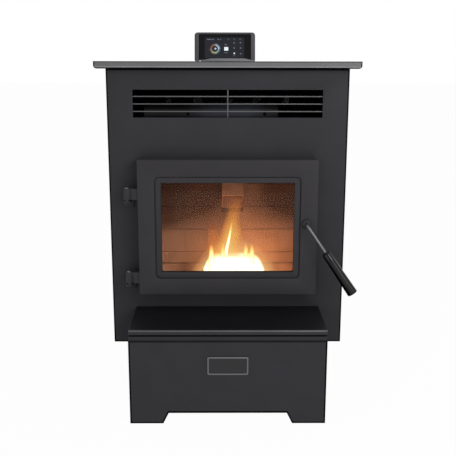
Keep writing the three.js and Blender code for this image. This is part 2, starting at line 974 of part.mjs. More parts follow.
function warmAirOutlet() {
  part("air_grille", airGrille(), greyPaint);
  part("air_deflector", airDeflector(), galvanised);
  ["left", "right"].forEach((side, i) => {
    const screw = part(`deflector_screw_${side}`, deflectorScrew(), darkSteel);
    screw.position.set(deflectorScrews[i], deflectorSetback, deflectorScrewHeight);
    screw.rotation.x = Math.PI / 2;
  });
}

// ---------------------------------------------------------------- firebox

function tubeCentres() {
  return steps(tubeCount).map((i) => (i - (tubeCount - 1) / 2) * tubePitch);
}

// Square bore or casing of the pellet chute, from below the crossing to above it.
function chuteBody(side, drop, rise) {
  const box = new THREE.BoxGeometry(side, side, drop + rise);
  const turn = new THREE.Quaternion().setFromUnitVectors(new THREE.Vector3(0, 0, -1), chuteDirection);
  box.translate(0, 0, (rise - drop) / 2);
  box.applyQuaternion(turn);
  return box.translate(...chuteCross.toArray());
}

function firebox() {
  const half = fireboxWidth / 2;
  const side = [
    [fireboxFront, fireboxBottom],
    [fireboxBack, fireboxBottom],
    [fireboxBack, fireboxTop],
    [fireboxUpperFront, fireboxTop],
    [fireboxUpperFront, fireboxSlopeHigh],
    [fireboxFront, fireboxSlopeLow],
  ];
  const shell = cut(
    extrudeX(outline(side), -half, half),
    extrudeX(outline(inset(side, fireboxWall)), -half + fireboxWall, half - fireboxWall),
  );
  const throughWall = (x, z, radius) => bar(
    [x, fireboxBack - 2 * fireboxWall, z], [x, fireboxBack + fireboxWall, z], radius, 18,
  );
  const tubeHoles = tubeCentres().map((x) => bar(
    [x, fireboxUpperFront - fireboxWall, tubeHeight],
    [x, fireboxBack + fireboxWall, tubeHeight],
    tubeRadius + seat, 16,
  ));
  const latchPlane = rodTail - latchFingerThickness - keeperThickness - seat;
  const keeper = block(
    mouthHalf, half - fireboxWall / 2,
    latchPlane, latchPlane + keeperThickness,
    latchHeight + rodRadius, latchHeight + rodRadius + keeperHeight,
  );
  const holders = [-1, 1].flatMap((side) => {
    const near = side > 0 ? brickHolderX : -brickHolderX - brickHolderWidth;
    const holder = (front, low, high) => block(
      near, near + brickHolderWidth, front, fireboxBack - fireboxWall / 2, low, high,
    );
    const ledge = brickRearBottom - seat;
    return [
      holder(brickRearFace + brickLedge, ledge - brickLedge, ledge),
      holder(brickRearBack + seat, brickSpacerBottom, brickSpacerBottom + brickHolderWidth),
    ];
  });
  return cut(
    join(shell, keeper, ...holders),
    chuteBody(chuteSide + 2 * seat, 2 * chuteDrop, chuteRise + seat),
    extrudeY(mouth(), fireboxFront - fireboxWall, fireboxFront + fireboxWall + seat),
    throughWall(feedX, intakeHeight, intakeRadius + seat),
    throughWall(feedX + igniterOffset, intakeHeight, igniterRadius + seat),
    throughWall(exhaustX, exhaustHeight, exhaustPort),
    ...tubeHoles,
  );
}

// Square pipe through the firebox's back: open at its foot, with the auger's mouth in its side.
function feedChute() {
  const augerHole = bar(
    along(chuteCross, augerDirection, -chuteSide).toArray(), chuteCross.toArray(),
    augerTubeRadius - augerTubeWall, 20,
  );
  return cut(
    chuteBody(chuteSide, chuteDrop, chuteRise),
    chuteBody(chuteSide - 2 * chuteWall, 2 * chuteDrop, chuteRise - chuteWall),
    augerHole,
  );
}

// Two channels joined by flat straps; the firebox stands on their upper flanges.
function fireboxStand() {
  const half = fireboxWidth / 2 - standFoot / 2;
  const foot = floorTop + seat;
  const top = fireboxBottom - seat;
  const front = fireboxFront + standFoot;
  const back = fireboxBack - seat;
  const channels = [-1, 1].map((side) => {
    const points = [
      [half - standFoot, foot],
      [half, foot],
      [half, top],
      [half - standFoot, top],
    ].map(([x, z]) => [side * x, z]);
    const path = side > 0 ? points : points.reverse();
    return extrudeY(folded(path, standSheet, standSheet), front, back);
  });
  const straps = [front, back - standStrap].map((y) => block(
    -half + standSheet, half - standSheet, y, y + standStrap, foot, foot + standSheet,
  ));
  return join(...channels, ...straps);
}

function heatExchanger() {
  const front = fireboxUpperFront - seat - tubePlate - tubeStub;
  const back = fireboxBack + tubeStub;
  const tubes = tubeCentres().map((x) => bar([x, front, tubeHeight], [x, back, tubeHeight], tubeRadius, 16));
  const bores = tubeCentres().map((x) => bar(
    [x, front - tubeStub, tubeHeight], [x, back + tubeStub, tubeHeight], tubeRadius - tubeWall, 16,
  ));
  const reach = ((tubeCount - 1) / 2) * tubePitch + tubeRadius + tubeSheetMargin;
  const plate = block(
    -reach, reach,
    fireboxUpperFront - seat - tubePlate, fireboxUpperFront - seat,
    tubeHeight - tubeSheetHeight / 2, tubeHeight + tubeSheetHeight / 2,
  );
  return cut(join(plate, ...tubes), ...bores);
}

// Joints of a brick wall between two ends, laid in running bond.
function brickJoints(from, to, bottom, top, groove) {
  const courses = Math.floor((top - bottom) / brickCourse);
  const joints = [];
  for (let row = 1; row <= courses; row += 1) {
    const z = top - row * brickCourse;
    joints.push(groove(from - brickJoint, to + brickJoint, z - brickJoint / 2, z + brickJoint / 2));
  }
  for (let row = 0; row <= courses; row += 1) {
    const high = top - row * brickCourse;
    const low = Math.max(high - brickCourse, bottom - brickJoint);
    const shift = row % 2 ? 0.6 : 0.25;
    for (let u = from + shift * brickLength; u < to - brickJoint; u += brickLength) {
      joints.push(groove(u - brickJoint / 2, u + brickJoint / 2, low, high));
    }
  }
  return joints;
}

function firebricks() {
  const inner = fireboxWidth / 2 - fireboxWall - seat;
  const back = fireboxBack - fireboxWall - seat;
  const rearGroove = (x0, x1, z0, z1) => block(
    x0, x1, brickRearFace - brickJoint, brickRearFace + brickJointDepth, z0, z1,
  );
  const reach = inner - brickThickness - seat;
  const rear = cut(
    block(-reach, reach, brickRearFace, brickRearBack, brickRearBottom, brickTop),
    chuteBody(chuteSide + 2 * seat, 2 * chuteDrop, chuteRise),
    bar(
      [feedX, brickRearFace - seat, intakeHeight], [feedX, brickRearBack + seat, intakeHeight],
      intakeRadius + 2 * seat, 18,
    ),
    ...brickJoints(-reach, reach, brickRearBottom, brickTop, rearGroove),
  );
  part("firebrick_rear", rear, firebrick);
  const foot = fireboxFloor + seat;
  [["left", -1], ["right", 1]].forEach(([side, hand]) => {
    const wall = hand * inner;
    const surface = hand * (inner - brickThickness);
    const span = (a, b) => [Math.min(a, b), Math.max(a, b)];
    const groove = (y0, y1, z0, z1) => block(
      ...span(surface - hand * brickJoint, surface + hand * brickJointDepth), y0, y1, z0, z1,
    );
    const slab = block(...span(surface, wall), brickFront, back, foot, brickTop);
    part(`firebrick_${side}`, cut(slab, ...brickJoints(brickFront, back, foot, brickTop, groove)), firebrick);
  });
}

function burnPotStand() {
  const foot = fireboxFloor + seat;
  const shell = block(
    feedX - potStandHalf, feedX + potStandHalf, potStandFront, potStandBack, foot, potStandTop,
  );
  const inside = block(
    feedX - potStandHalf + potWall, feedX + potStandHalf - potWall,
    potStandFront + potWall, potStandBack - potWall,
    foot + potWall, potStandTop - potWall,
  );
  const hole = block(
    feedX - potWidth / 2 - seat, feedX + potWidth / 2 + seat,
    potFront - seat, potFront + potDepth + seat,
    potStandTop - 2 * potWall, potStandTop + potWall,
  );
  const rear = potStandBack - 2 * potWall;
  const air = bar([feedX, rear, intakeHeight], [feedX, potStandBack + potWall, intakeHeight], intakeRadius + seat, 20);
  const igniterX = feedX + igniterOffset;
  const lighter = bar(
    [igniterX, rear, intakeHeight], [igniterX, potStandBack + potWall, intakeHeight], igniterRadius + seat, 14,
  );
  return cut(shell, inside, hole, air, lighter);
}

function burnPot() {
  const left = feedX - potWidth / 2;
  const right = feedX + potWidth / 2;
  const back = potFront + potDepth;
  const rimFoot = potStandTop + seat;
  const foot = rimFoot - potHeight;
  const rimTop = rimFoot + potWall;
  const hull = (wall, low, high) => funnel([
    [left + potTaper + wall, right - potTaper - wall, potFront + potTaper + wall, back - potTaper - wall, low],
    [left + wall, right - wall, potFront + wall, back - wall, high],
  ]);
  const rim = block(left - potRim, right + potRim, potFront - potRim, back + potRim, rimFoot, rimTop);
  const airHoles = steps(potHoleColumns).flatMap((column) => steps(potHoleRows).map((row) => {
    const x = feedX + (column - (potHoleColumns - 1) / 2) * potHolePitch;
    const y = potFront + potDepth / 2 + (row - (potHoleRows - 1) / 2) * potHolePitch;
    return bar([x, y, foot - potWall], [x, y, foot + 2 * potWall], potHoleRadius, 8);
  }));
  return cut(
    join(rim, hull(0, foot, rimTop - potWall / 2)),
    hull(potWall, foot + potWall, rimTop + potWall),
    ...airHoles,
  );
}

// Tray that lies round three sides of the burn pot's stand.
function ashPan() {
  const half = panWidth / 2;
  const back = panFront + panDepth;
  const notch = potStandHalf + panClearance;
  const plan = [
    [-half, panFront],
    [half, panFront],
    [half, back],
    [feedX + notch, back],
    [feedX + notch, potStandFront - panClearance],
    [feedX - notch, potStandFront - panClearance],
    [feedX - notch, back],
    [-half, back],
  ];
  const foot = fireboxFloor + seat;
  return cut(
    extrudeZ(outline(plan), foot, foot + panHeight),
    extrudeZ(outline(inset(plan, panSheet)), foot + panSheet, foot + 2 * panHeight),
  );
}

// ---------------------------------------------------------------- air and ignition

function airIntakePipe() {
  const inner = potStandBack - intakeInside;
  const outer = bodyDepth + intakeStub;
  return cut(
    bar([feedX, inner, intakeHeight], [feedX, outer, intakeHeight], intakeRadius, 20),
    bar([feedX, inner - 1, intakeHeight], [feedX, outer + 1, intakeHeight], intakeRadius - intakeWall, 20),
  );
}

function igniter() {
  const x = feedX + igniterOffset;
  const tip = potFront + potDepth + igniterPotGap;
  const tail = fireboxBack + igniterTail;
  const collar = fireboxBack + seat;
  return join(
    bar([x, tip, intakeHeight], [x, tail, intakeHeight], igniterRadius, 14),
    bar([x, collar, intakeHeight], [x, collar + igniterRadius, intakeHeight], 1.6 * igniterRadius, 6),
  );
}

// ---------------------------------------------------------------- feed auger

function augerTube() {
  const foot = augerFoot.toArray();
  const top = augerTop.toArray();
  const throatTop = hopperThroat - seat;
  const left = feedX - hopperThroatWidth / 2;
  const right = feedX + hopperThroatWidth / 2;
  const front = hopperThroatFront;
  const back = hopperThroatFront + hopperThroatDepth;
  // height of the screw's centre line above a given y
  const axisAt = (y) => augerFoot.z + (augerFoot.y - y) * Math.tan(feedAngle);
  const collar = (wall, lift, high) => extrudeX(outline([
    [front - wall, axisAt(front - wall) + lift],
    [back + wall, axisAt(back + wall) + lift],
    [back + wall, high],
    [front - wall, high],
  ]), left - wall, right + wall);
  const inner = along(augerFoot, augerDirection, augerEndPlate).toArray();
  const beyond = along(augerTop, augerDirection, augerEndPlate).toArray();
  const below = along(augerFoot, augerDirection, -augerEndPlate).toArray();
  return cut(
    join(bar(foot, top, augerTubeRadius), collar(hopperSheet, 0, throatTop)),
    bar(inner, beyond, augerTubeRadius - augerTubeWall),
    collar(0, 0, throatTop + augerEndPlate),
    bar(below, beyond, augerShaftRadius + running, 16),
  );
}

// Helical flight on a round shaft, in a frame whose Z runs up the tube.
function augerScrew() {
  const start = augerEndPlate + running + augerFlightThickness;
  const end = augerTubeLength + augerOverrun;
  const count = Math.round(((end - start) / augerPitch) * augerStepsPerTurn);
  const rings = steps(count + 1).map((i) => {
    const angle = (2 * Math.PI * i) / augerStepsPerTurn;
    const z = start + (augerPitch * i) / augerStepsPerTurn;
    const root = augerShaftRadius / 2;
    return [
      [root * Math.cos(angle), root * Math.sin(angle), z - augerFlightThickness / 2],
      [augerFlightRadius * Math.cos(angle), augerFlightRadius * Math.sin(angle), z - augerFlightThickness / 2],
      [augerFlightRadius * Math.cos(angle), augerFlightRadius * Math.sin(angle), z + augerFlightThickness / 2],
      [root * Math.cos(angle), root * Math.sin(angle), z + augerFlightThickness / 2],
    ];
  });
  const shaft = bar([0, 0, -augerShaftTail], [0, 0, end + augerFlightThickness], augerShaftRadius, 16);
  return join(shaft, joinRings(rings, false));
}

// Gearbox on the foot of the tube, with its motor behind it.
function augerMotor() {
  const face = -seat;
  const box = extrudeZ(
    rectangle(-gearboxWidth / 2, gearboxWidth / 2, -gearboxHeight / 2, gearboxHeight / 2, bendRadius * 2),
    face - gearboxDepth, face,
  );
  const motor = turned([
    [0, -gearMotorLength],
    [gearMotorRadius - bendRadius, -gearMotorLength],
    [gearMotorRadius, bendRadius - gearMotorLength],
    [gearMotorRadius, seat],
    [0, seat],
  ], 20).translate(0, 0, face - gearboxDepth);
  const socket = bar([0, 0, -augerShaftTail - running], [0, 0, seat], augerShaftRadius + running, 16);
  return cut(join(box, motor), socket);
}

function feedAuger() {
  part("auger_tube", augerTube(), darkSteel);
  const frame = group(...augerFoot.toArray());
  frame.rotation.x = Math.PI / 2 - feedAngle;
  part("auger_screw", augerScrew(), brightSteel, frame);
  part("auger_motor", augerMotor(), darkSteel, frame);
}

// ---------------------------------------------------------------- hopper and lid

function hopper() {
  const level = (wall, z) => [
    -hopperWidth / 2 - wall, hopperWidth / 2 + wall, hopperFront - wall, hopperBack + wall, z,
  ];
  const throat = (wall, z) => [
    feedX - hopperThroatWidth / 2 - wall, feedX + hopperThroatWidth / 2 + wall,
    hopperThroatFront - wall, hopperThroatFront + hopperThroatDepth + wall, z,
  ];
  const flange = block(
    -hopperWidth / 2 - hopperFlange, hopperWidth / 2 + hopperFlange,
    hopperFront - hopperFlange, hopperBack + hopperFlange,
    hopperTop - hopperFlangeHeight, hopperTop,
  );
  const rebate = block(
    -lidHalf - lidGap / 2, lidHalf + lidGap / 2,
    lidFront - lidGap / 2, lidBack + lidGap / 2,
    hopperRebate - seat, hopperTop + topSheet,
  );
  return cut(
    join(
      funnel([throat(hopperSheet, hopperThroat), level(hopperSheet, hopperShoulder), level(hopperSheet, hopperTop)]),
      flange,
    ),
    funnel([
      throat(0, hopperThroat - topSheet),
      throat(0, hopperThroat),
      level(0, hopperShoulder),
      level(0, hopperTop + topSheet),
    ]),
    rebate,
  );
}

function hopperLid() {
  const plate = extrudeZ(
    rectangle(-lidHalf, lidHalf, lidFront, lidBack, lidRadius), topHeight - topSheet, topHeight,
  );
  const barrel = bar([-lidKnuckle / 2, lidHingeY, lidHingeZ], [lidKnuckle / 2, lidHingeY, lidHingeZ], lidHingeRadius, 16);
  const leaf = (depth, foot) => block(
    -lidKnuckle / 2, lidKnuckle / 2, lidHingeY - lidHingeLeafDepth, lidHingeY - depth,
    foot, topHeight + seat + lidHingeLeaf,
  );
  const pinHole = bar([-lidKnuckle, lidHingeY, lidHingeZ], [lidKnuckle, lidHingeY, lidHingeZ], lidPinRadius + running, 12);
  const fixing = leaf(lidHingeRadius + 2 * lidGap, topHeight - topSheet / 2);
  return cut(join(plate, leaf(0, topHeight + seat), fixing, barrel), pinHole);
}

function lidHingeFixed() {
  const half = lidHingeWidth / 2;
  const gap = lidKnuckle / 2 + seat;
  const halves = [-1, 1].map((side) => {
    const [x0, x1] = side > 0 ? [gap, half] : [-half, -gap];
    return join(
      bar([x0, lidHingeY, lidHingeZ], [x1, lidHingeY, lidHingeZ], lidHingeRadius, 16),
      block(x0, x1, lidHingeY, lidHingeY + lidHingeLeafDepth, topHeight + seat, topHeight + seat + lidHingeLeaf),
    );
  });
  const bridge = block(
    -half, half, lidHingeY + lidHingeRadius + 2 * seat, lidHingeY + lidHingeLeafDepth,
    topHeight + seat, topHeight + seat + lidHingeLeaf,
  );
  const pinHole = bar([-half - seat, lidHingeY, lidHingeZ], [half + seat, lidHingeY, lidHingeZ], lidPinRadius + running, 12);
  return cut(join(...halves, bridge), pinHole);
}

function lidHingePin() {
  const half = lidHingeWidth / 2 + seat;
  const head = 2 * lidPinRadius;
  return join(
    bar([-half - head / 2, lidHingeY, lidHingeZ], [half + head / 2, lidHingeY, lidHingeZ], lidPinRadius, 12),
    bar([-half - head / 2, lidHingeY, lidHingeZ], [-half, lidHingeY, lidHingeZ], lidPinRadius * 1.5, 12),
    bar([half, lidHingeY, lidHingeZ], [half + head / 2, lidHingeY, lidHingeZ], lidPinRadius * 1.5, 12),
  );
}

function lidKnob() {
  const r = lidKnobRadius;
  const h = lidKnobHeight;
  return turned([
    [0, 0],
    [0.6 * r, 0],
    [0.42 * r, 0.2 * h],
    [0.42 * r, 0.4 * h],
    [0.85 * r, 0.55 * h],
    [r, 0.75 * h],
    [0.85 * r, 0.93 * h],
    [0.5 * r, h],
    [0, h],
  ], 20);
}

function lidSeal() {
  const inner = lidSealWidth;
  const top = topHeight - topSheet - seat;
  const profile = [[0, top - lidSealHeight], [inner, top - lidSealHeight], [inner, top], [0, top]];
  return rectangleRing(-lidHalf, lidHalf, lidFront, lidBack, profile);
}

function hopperAndLid() {
  part("hopper", hopper(), galvanised);
  part("hopper_lid", hopperLid(), blackPaint);
  part("hopper_lid_gasket", lidSeal(), rope);
  part("lid_hinge_leaf", lidHingeFixed(), darkSteel);
  part("lid_hinge_pin", lidHingePin(), brightSteel);
  const knob = part("hopper_lid_knob", lidKnob(), blackPlastic);
  knob.position.set(0, lidFront + lidKnobInset, topHeight + seat);
}

// ---------------------------------------------------------------- exhaust blower and flue

function exhaustScrollAt(wall) {
  const points = scroll(exhaustScroll, exhaustGrowth, exhaustOutletReach, exhaustOutletHeight, wall);
  return outline(points.map(([a, b]) => [exhaustX + a, exhaustHeight + b]));
}

function exhaustHousing() {
  const boss = exhaustMotorRadius / 3;
  const inside = common(
    extrudeY(exhaustScrollAt(blowerSheet), exhaustFront + blowerSheet, exhaustRear - blowerSheet),
    block(
      exhaustX - 2 * exhaustScroll, exhaustOutletX - blowerSheet,
      exhaustFront, exhaustRear,
      exhaustHeight - 2 * exhaustScroll, exhaustHeight + 2 * exhaustScroll,
    ),
  );
  return cut(
    extrudeY(exhaustScrollAt(0), exhaustFront, exhaustRear),
    inside,
    bar([exhaustX, exhaustFront - 1, exhaustHeight], [exhaustX, exhaustFront + 2 * blowerSheet, exhaustHeight], exhaustPort),
    bar([exhaustX, exhaustRear - 2 * blowerSheet, exhaustHeight], [exhaustX, exhaustRear + 1, exhaustHeight], boss, 16),
    bar([exhaustOutletX - 2 * blowerSheet, flueY, flueZ], [exhaustOutletX + 1, flueY, flueZ], flueRadius + 2 * seat),
  );
}

// Paddle wheel and its shaft, in a frame whose Z is the shaft, pointing at the motor.
function exhaustImpeller() {
  const blade = (i) => {
    const paddle = block(impellerHub / 2, impellerRadius, -impellerDisc / 2, impellerDisc / 2, -impellerBladeDepth, seat);
    return paddle.rotateZ((2 * Math.PI * i) / impellerBlades);
  };
  return join(
    bar([0, 0, 0], [0, 0, impellerDisc], impellerRadius, 28),
    bar([0, 0, -impellerBladeDepth], [0, 0, impellerDisc], impellerHub, 16),
    bar([0, 0, 0], [0, 0, exhaustDepth / 2 + exhaustMotorLength / 3], shaftRadius, 14),
    ...steps(impellerBlades).map(blade),
  );
}

// Shaded-pole motor can with a stepped end bell; it stands on the Z axis from the mounting face.
function canMotor(radius, length, bore) {
  const bell = radius / 4;
  const can = turned([
    [0, 0],
    [radius * 0.8, 0],
    [radius * 0.8, bell / 2],
    [radius, bell],
    [radius, length - bell],
    [radius * 0.8, length - bell / 2],
    [radius * 0.8, length],
    [0, length],
  ]);
  return cut(can, bar([0, 0, -1], [0, 0, bore], shaftRadius + running, 14));
}

function flueOutlet() {
  const start = new THREE.Vector3(exhaustOutletX - flueInsert, flueY, flueZ);
  const corner = new THREE.Vector3(flueX, flueY, flueZ);
  const end = new THREE.Vector3(flueX, rearReach, flueZ);
  const path = bentPath(start, corner, end, flueBend, 8);
  const up = new THREE.Vector3(0, 0, 1);
  const bore = path.slice();
  bore[0] = start.clone().setX(start.x - 1);
  bore[bore.length - 1] = end.clone().setY(end.y + 1);
  return cut(sweep(path, up, flueRadius, 24), sweep(bore, up, flueRadius - flueWall, 24));
}

function exhaust() {
  part("exhaust_housing", exhaustHousing(), darkSteel);
  part("flue_outlet", flueOutlet(), galvanised);
  const wheel = group(exhaustX, exhaustFront + exhaustDepth / 2, exhaustHeight);
  wheel.rotation.x = -Math.PI / 2;
  part("exhaust_impeller", exhaustImpeller(), aluminium, wheel);
  const motor = part(
    "exhaust_motor",
    canMotor(exhaustMotorRadius, exhaustMotorLength, exhaustMotorLength / 3 + 2 * seat),
    darkSteel,
  );
  motor.position.set(exhaustX, exhaustRear + seat, exhaustHeight);
  motor.rotation.x = -Math.PI / 2;
}

// ---------------------------------------------------------------- convection blower

function fanScrollAt(wall) {
  const points = scroll(fanScroll, fanGrowth, fanOutletReach, fanOutletDepth, wall);
  return outline(points.map(([a, b]) => [fanY + b, fanHeight + a]));
}

function convectionHousing() {
  const left = fanX - fanWidth / 2;
  const right = fanX + fanWidth / 2;
  const foot = floorTop + seat;
  const outletTop = fanHeight + fanScroll + fanOutletReach;
  const inside = extrudeX(fanScrollAt(blowerSheet), left + blowerSheet, right - blowerSheet);
  const outlet = block(
    left + blowerSheet, right - blowerSheet,
    fanY - fanScroll - fanGrowth + blowerSheet, fanY - fanScroll - fanGrowth + fanOutletDepth - blowerSheet,
    outletTop - 2 * blowerSheet, outletTop + blowerSheet,
  );
  const feet = [left, right - blowerSheet].map((x) => block(
    x, x + blowerSheet, fanY - fanFoot / 2, fanY + fanFoot / 2, foot, fanHeight - fanScroll,
  ));
  const soles = [left, right - fanFoot / 3].map((x) => block(
    x, x + fanFoot / 3, fanY - fanFoot / 2, fanY + fanFoot / 2, foot, foot + blowerSheet,
  ));
  return cut(
    join(extrudeX(fanScrollAt(0), left, right), ...feet, ...soles),
    inside,
    outlet,
    bar([right - 2 * blowerSheet, fanY, fanHeight], [right + 1, fanY, fanHeight], fanInlet),
    bar([left - 1, fanY, fanHeight], [left + 2 * blowerSheet, fanY, fanHeight], fanMotorRadius / 3, 16),
  );
}

// Squirrel-cage wheel and its shaft, in a frame whose Z is the shaft, pointing at the motor.
function convectionWheel() {
  const half = fanWheelWidth / 2;
  const inner = fanWheelRadius - fanBladeDepth;
  const blade = new THREE.Shape();
  blade.moveTo(inner + seat, 0);
  blade.quadraticCurveTo(fanWheelRadius - fanBladeDepth / 2, 0, fanWheelRadius - seat, fanBladeDepth / 2);
  blade.lineTo(fanWheelRadius - seat, fanBladeDepth / 2 - fanBladeThickness);
  blade.quadraticCurveTo(
    fanWheelRadius - fanBladeDepth / 2, -fanBladeThickness, inner + seat, -fanBladeThickness,
  );
  const blades = steps(fanBlades).map((i) => (
    extrudeZ(blade, -half + fanRing / 2, half - fanRing / 2, 2).rotateZ((2 * Math.PI * i) / fanBlades)
  ));
  const ring = withHoles(circle(0, 0, fanWheelRadius), [circle(0, 0, inner)]);
  return join(
    extrudeZ(ring, -half, -half + fanRing, 16),
    bar([0, 0, half - fanRing], [0, 0, half], fanWheelRadius, 32),
    bar([0, 0, half - 4 * fanRing], [0, 0, half], impellerHub, 16),
    bar([0, 0, half - fanRing], [0, 0, fanWidth / 2 + fanMotorLength / 3], shaftRadius, 14),
    ...blades,
  );
}

function convection() {
  part("convection_housing", convectionHousing(), galvanised);
  const wheel = group(fanX, fanY, fanHeight);
  wheel.rotation.y = -Math.PI / 2;
  part("convection_wheel", convectionWheel(), galvanised, wheel);
  const motor = part(
    "convection_motor",
    canMotor(fanMotorRadius, fanMotorLength, fanMotorLength / 3 + 2 * seat),
    darkSteel,
  );
  motor.position.set(fanX - fanWidth / 2 - seat, fanY, fanHeight);
  motor.rotation.y = -Math.PI / 2;
}

// ---------------------------------------------------------------- electrics

function controlBox() {
  const wall = bodyHalf - sheet - seat;
  const back = bodyDepth - controlBoxBack;
  const front = back - controlBoxLength;
  const top = controlBoxBottom + controlBoxHeight;
  const cover = rectangle(wall - controlBoxDepth, wall, front, back, bendRadius);
  const mountingTabs = block(wall - sheet, wall, front - rearFlange, back + rearFlange, controlBoxBottom, top);
  const sockets = steps(4).map((i) => {
    const y = front + ((i + 0.5) * controlBoxLength) / 4;
    return block(
      wall - 0.75 * controlBoxDepth, wall - 0.25 * controlBoxDepth, y - 9, y + 9,
      controlBoxBottom - 1, controlBoxBottom + 8,
    );
  });
  return cut(join(extrudeZ(cover, controlBoxBottom, top), mountingTabs), ...sockets);
}

function powerInlet() {
  const half = inletWidth / 2;
  const tall = inletTall / 2;
  const outside = bodyDepth + seat;
  const section = (margin) => outline([
    [inletX - half - margin, inletHeight - tall - margin],
    [inletX + half + margin, inletHeight - tall - margin],
    [inletX + half + margin, inletHeight + tall + margin],
    [inletX - half - margin, inletHeight + tall + margin],
  ], [2, 2, 5, 5]);
  const shell = join(
    extrudeY(section(inletFlange), outside, outside + inletFlange),
    extrudeY(section(0), bodyDepth - inletDepth, outside + inletFlange / 2),
  );
  const recess = extrudeY(section(-inletFlange), bodyDepth - 0.7 * inletDepth, outside + 2 * inletFlange);
  const pins = [[-7, -1], [0, 3], [7, -1]].map(([dx, dz]) => block(
    inletX + dx - 1, inletX + dx + 1,
    bodyDepth - 0.8 * inletDepth, bodyDepth - inletFlange / 2,
    inletHeight + dz - 2, inletHeight + dz + 2,
  ));
  return join(cut(shell, recess), ...pins);
}

// Round pressure switch with its two hose spigots, standing on the side panel.
function vacuumSwitch() {
  const spigot = switchRadius / 2;
  return join(
    turned([
      [0, 0],
      [switchRadius, 0],
      [switchRadius, switchDepth / 3],
      [switchRadius * 0.85, switchDepth / 2],
      [switchRadius * 0.85, switchDepth],
      [0, switchDepth],
    ]),
    bar([-spigot, 0, switchDepth - 1], [-spigot, 0, switchDepth + spigot], 3, 10),
    bar([spigot, 0, switchDepth - 1], [spigot, 0, switchDepth + spigot], 3, 10),
  );
}

function electrics() {
  part("control_box", controlBox(), galvanised);
  part("power_inlet", powerInlet(), blackPlastic);
  const vacuum = part("vacuum_switch", vacuumSwitch(), blackPlastic);
  vacuum.position.set(-bodyHalf + sheet + seat, switchY, switchHeight);
  vacuum.rotation.y = Math.PI / 2;
}

// ---------------------------------------------------------------- display

function displayBracket() {
  const front = displayY - displayDepth - bracketReach;
  const foot = topHeight + seat;
  const half = bracketWidth / 2;
  const section = folded([
    [front, foot + bracketLip],
    [front, foot],
    [displayY, foot],
  ], bracketSheet, bracketSheet);
  const frontView = outline([
    [bracketX - half, foot - seat],
    [bracketX + half, foot - seat],
    [bracketX + half, foot + bracketSheet],
    [bracketX + half - bracketSlope, foot + bracketLip],
    [bracketX - half + bracketSlope, foot + bracketLip],
    [bracketX - half, foot + bracketSheet],
  ]);
  return common(
    extrudeX(section, bracketX - half, bracketX + half),
    extrudeY(frontView, front - 1, displayY + 1),
  );
}

function display() {
  part("display_bracket", displayBracket(), greyPaint);
  // the frame's origin is the middle of the housing's lower back edge
  const frame = group(displayX, displayY, topHeight + seat + bracketSheet + seat);
  frame.rotation.x = -displayTilt;
  const half = displayWidth / 2;
  const screenTop = displayHeight - screenTopMargin;
  const recess = block(
    -screenWidth / 2 - seat, screenWidth / 2 + seat,
    -displayDepth - 1, -displayDepth + screenRecess,
    screenTop - screenHeight - seat, screenTop + seat,
  );
  // its foot is level, so the front reaches lower than the back
  const foot = -displayDepth * Math.tan(displayTilt);
  const casing = outline([
    [-half, foot],
    [half, foot],
    [half, displayHeight],
    [-half, displayHeight],
  ], [0, 0, displayRadius, displayRadius]);
  const side = outline([
    [-displayDepth, foot],
    [0, 0],
    [0, displayHeight],
    [-displayDepth, displayHeight],
  ]);
  const housing = common(extrudeY(casing, -displayDepth, 0, 6), extrudeX(side, -half, half));
  part("display_housing", cut(housing, recess), blackPlastic, frame);
  const pane = block(
    -screenWidth / 2, screenWidth / 2,
    -displayDepth + screenRecess - seat - screenThickness, -displayDepth + screenRecess - seat,
    screenTop - screenHeight, screenTop,
  );
  part("display_screen", pane, glossBlack, frame);
}

// ---------------------------------------------------------------- door

function knuckle(bottom) {
  const top = bottom + knuckleHeight;
  return join(
    bar([hingeX, hingeY, bottom], [hingeX, hingeY, top], knuckleRadius, 20),
    block(
      hingeX + knuckleRadius / 2, -doorHalf + doorWall / 2,
      hingeY - hingeWebDepth / 2, hingeY + hingeWebDepth / 2,
      bottom, top,
    ),
    block(
      hingeX + knuckleRadius + hingeWebReach, -doorHalf + doorWall / 2,
      hingeY - hingeBlockDepth / 2, hingeY + hingeBlockDepth / 2,
      bottom, top,
    ),
  );
}

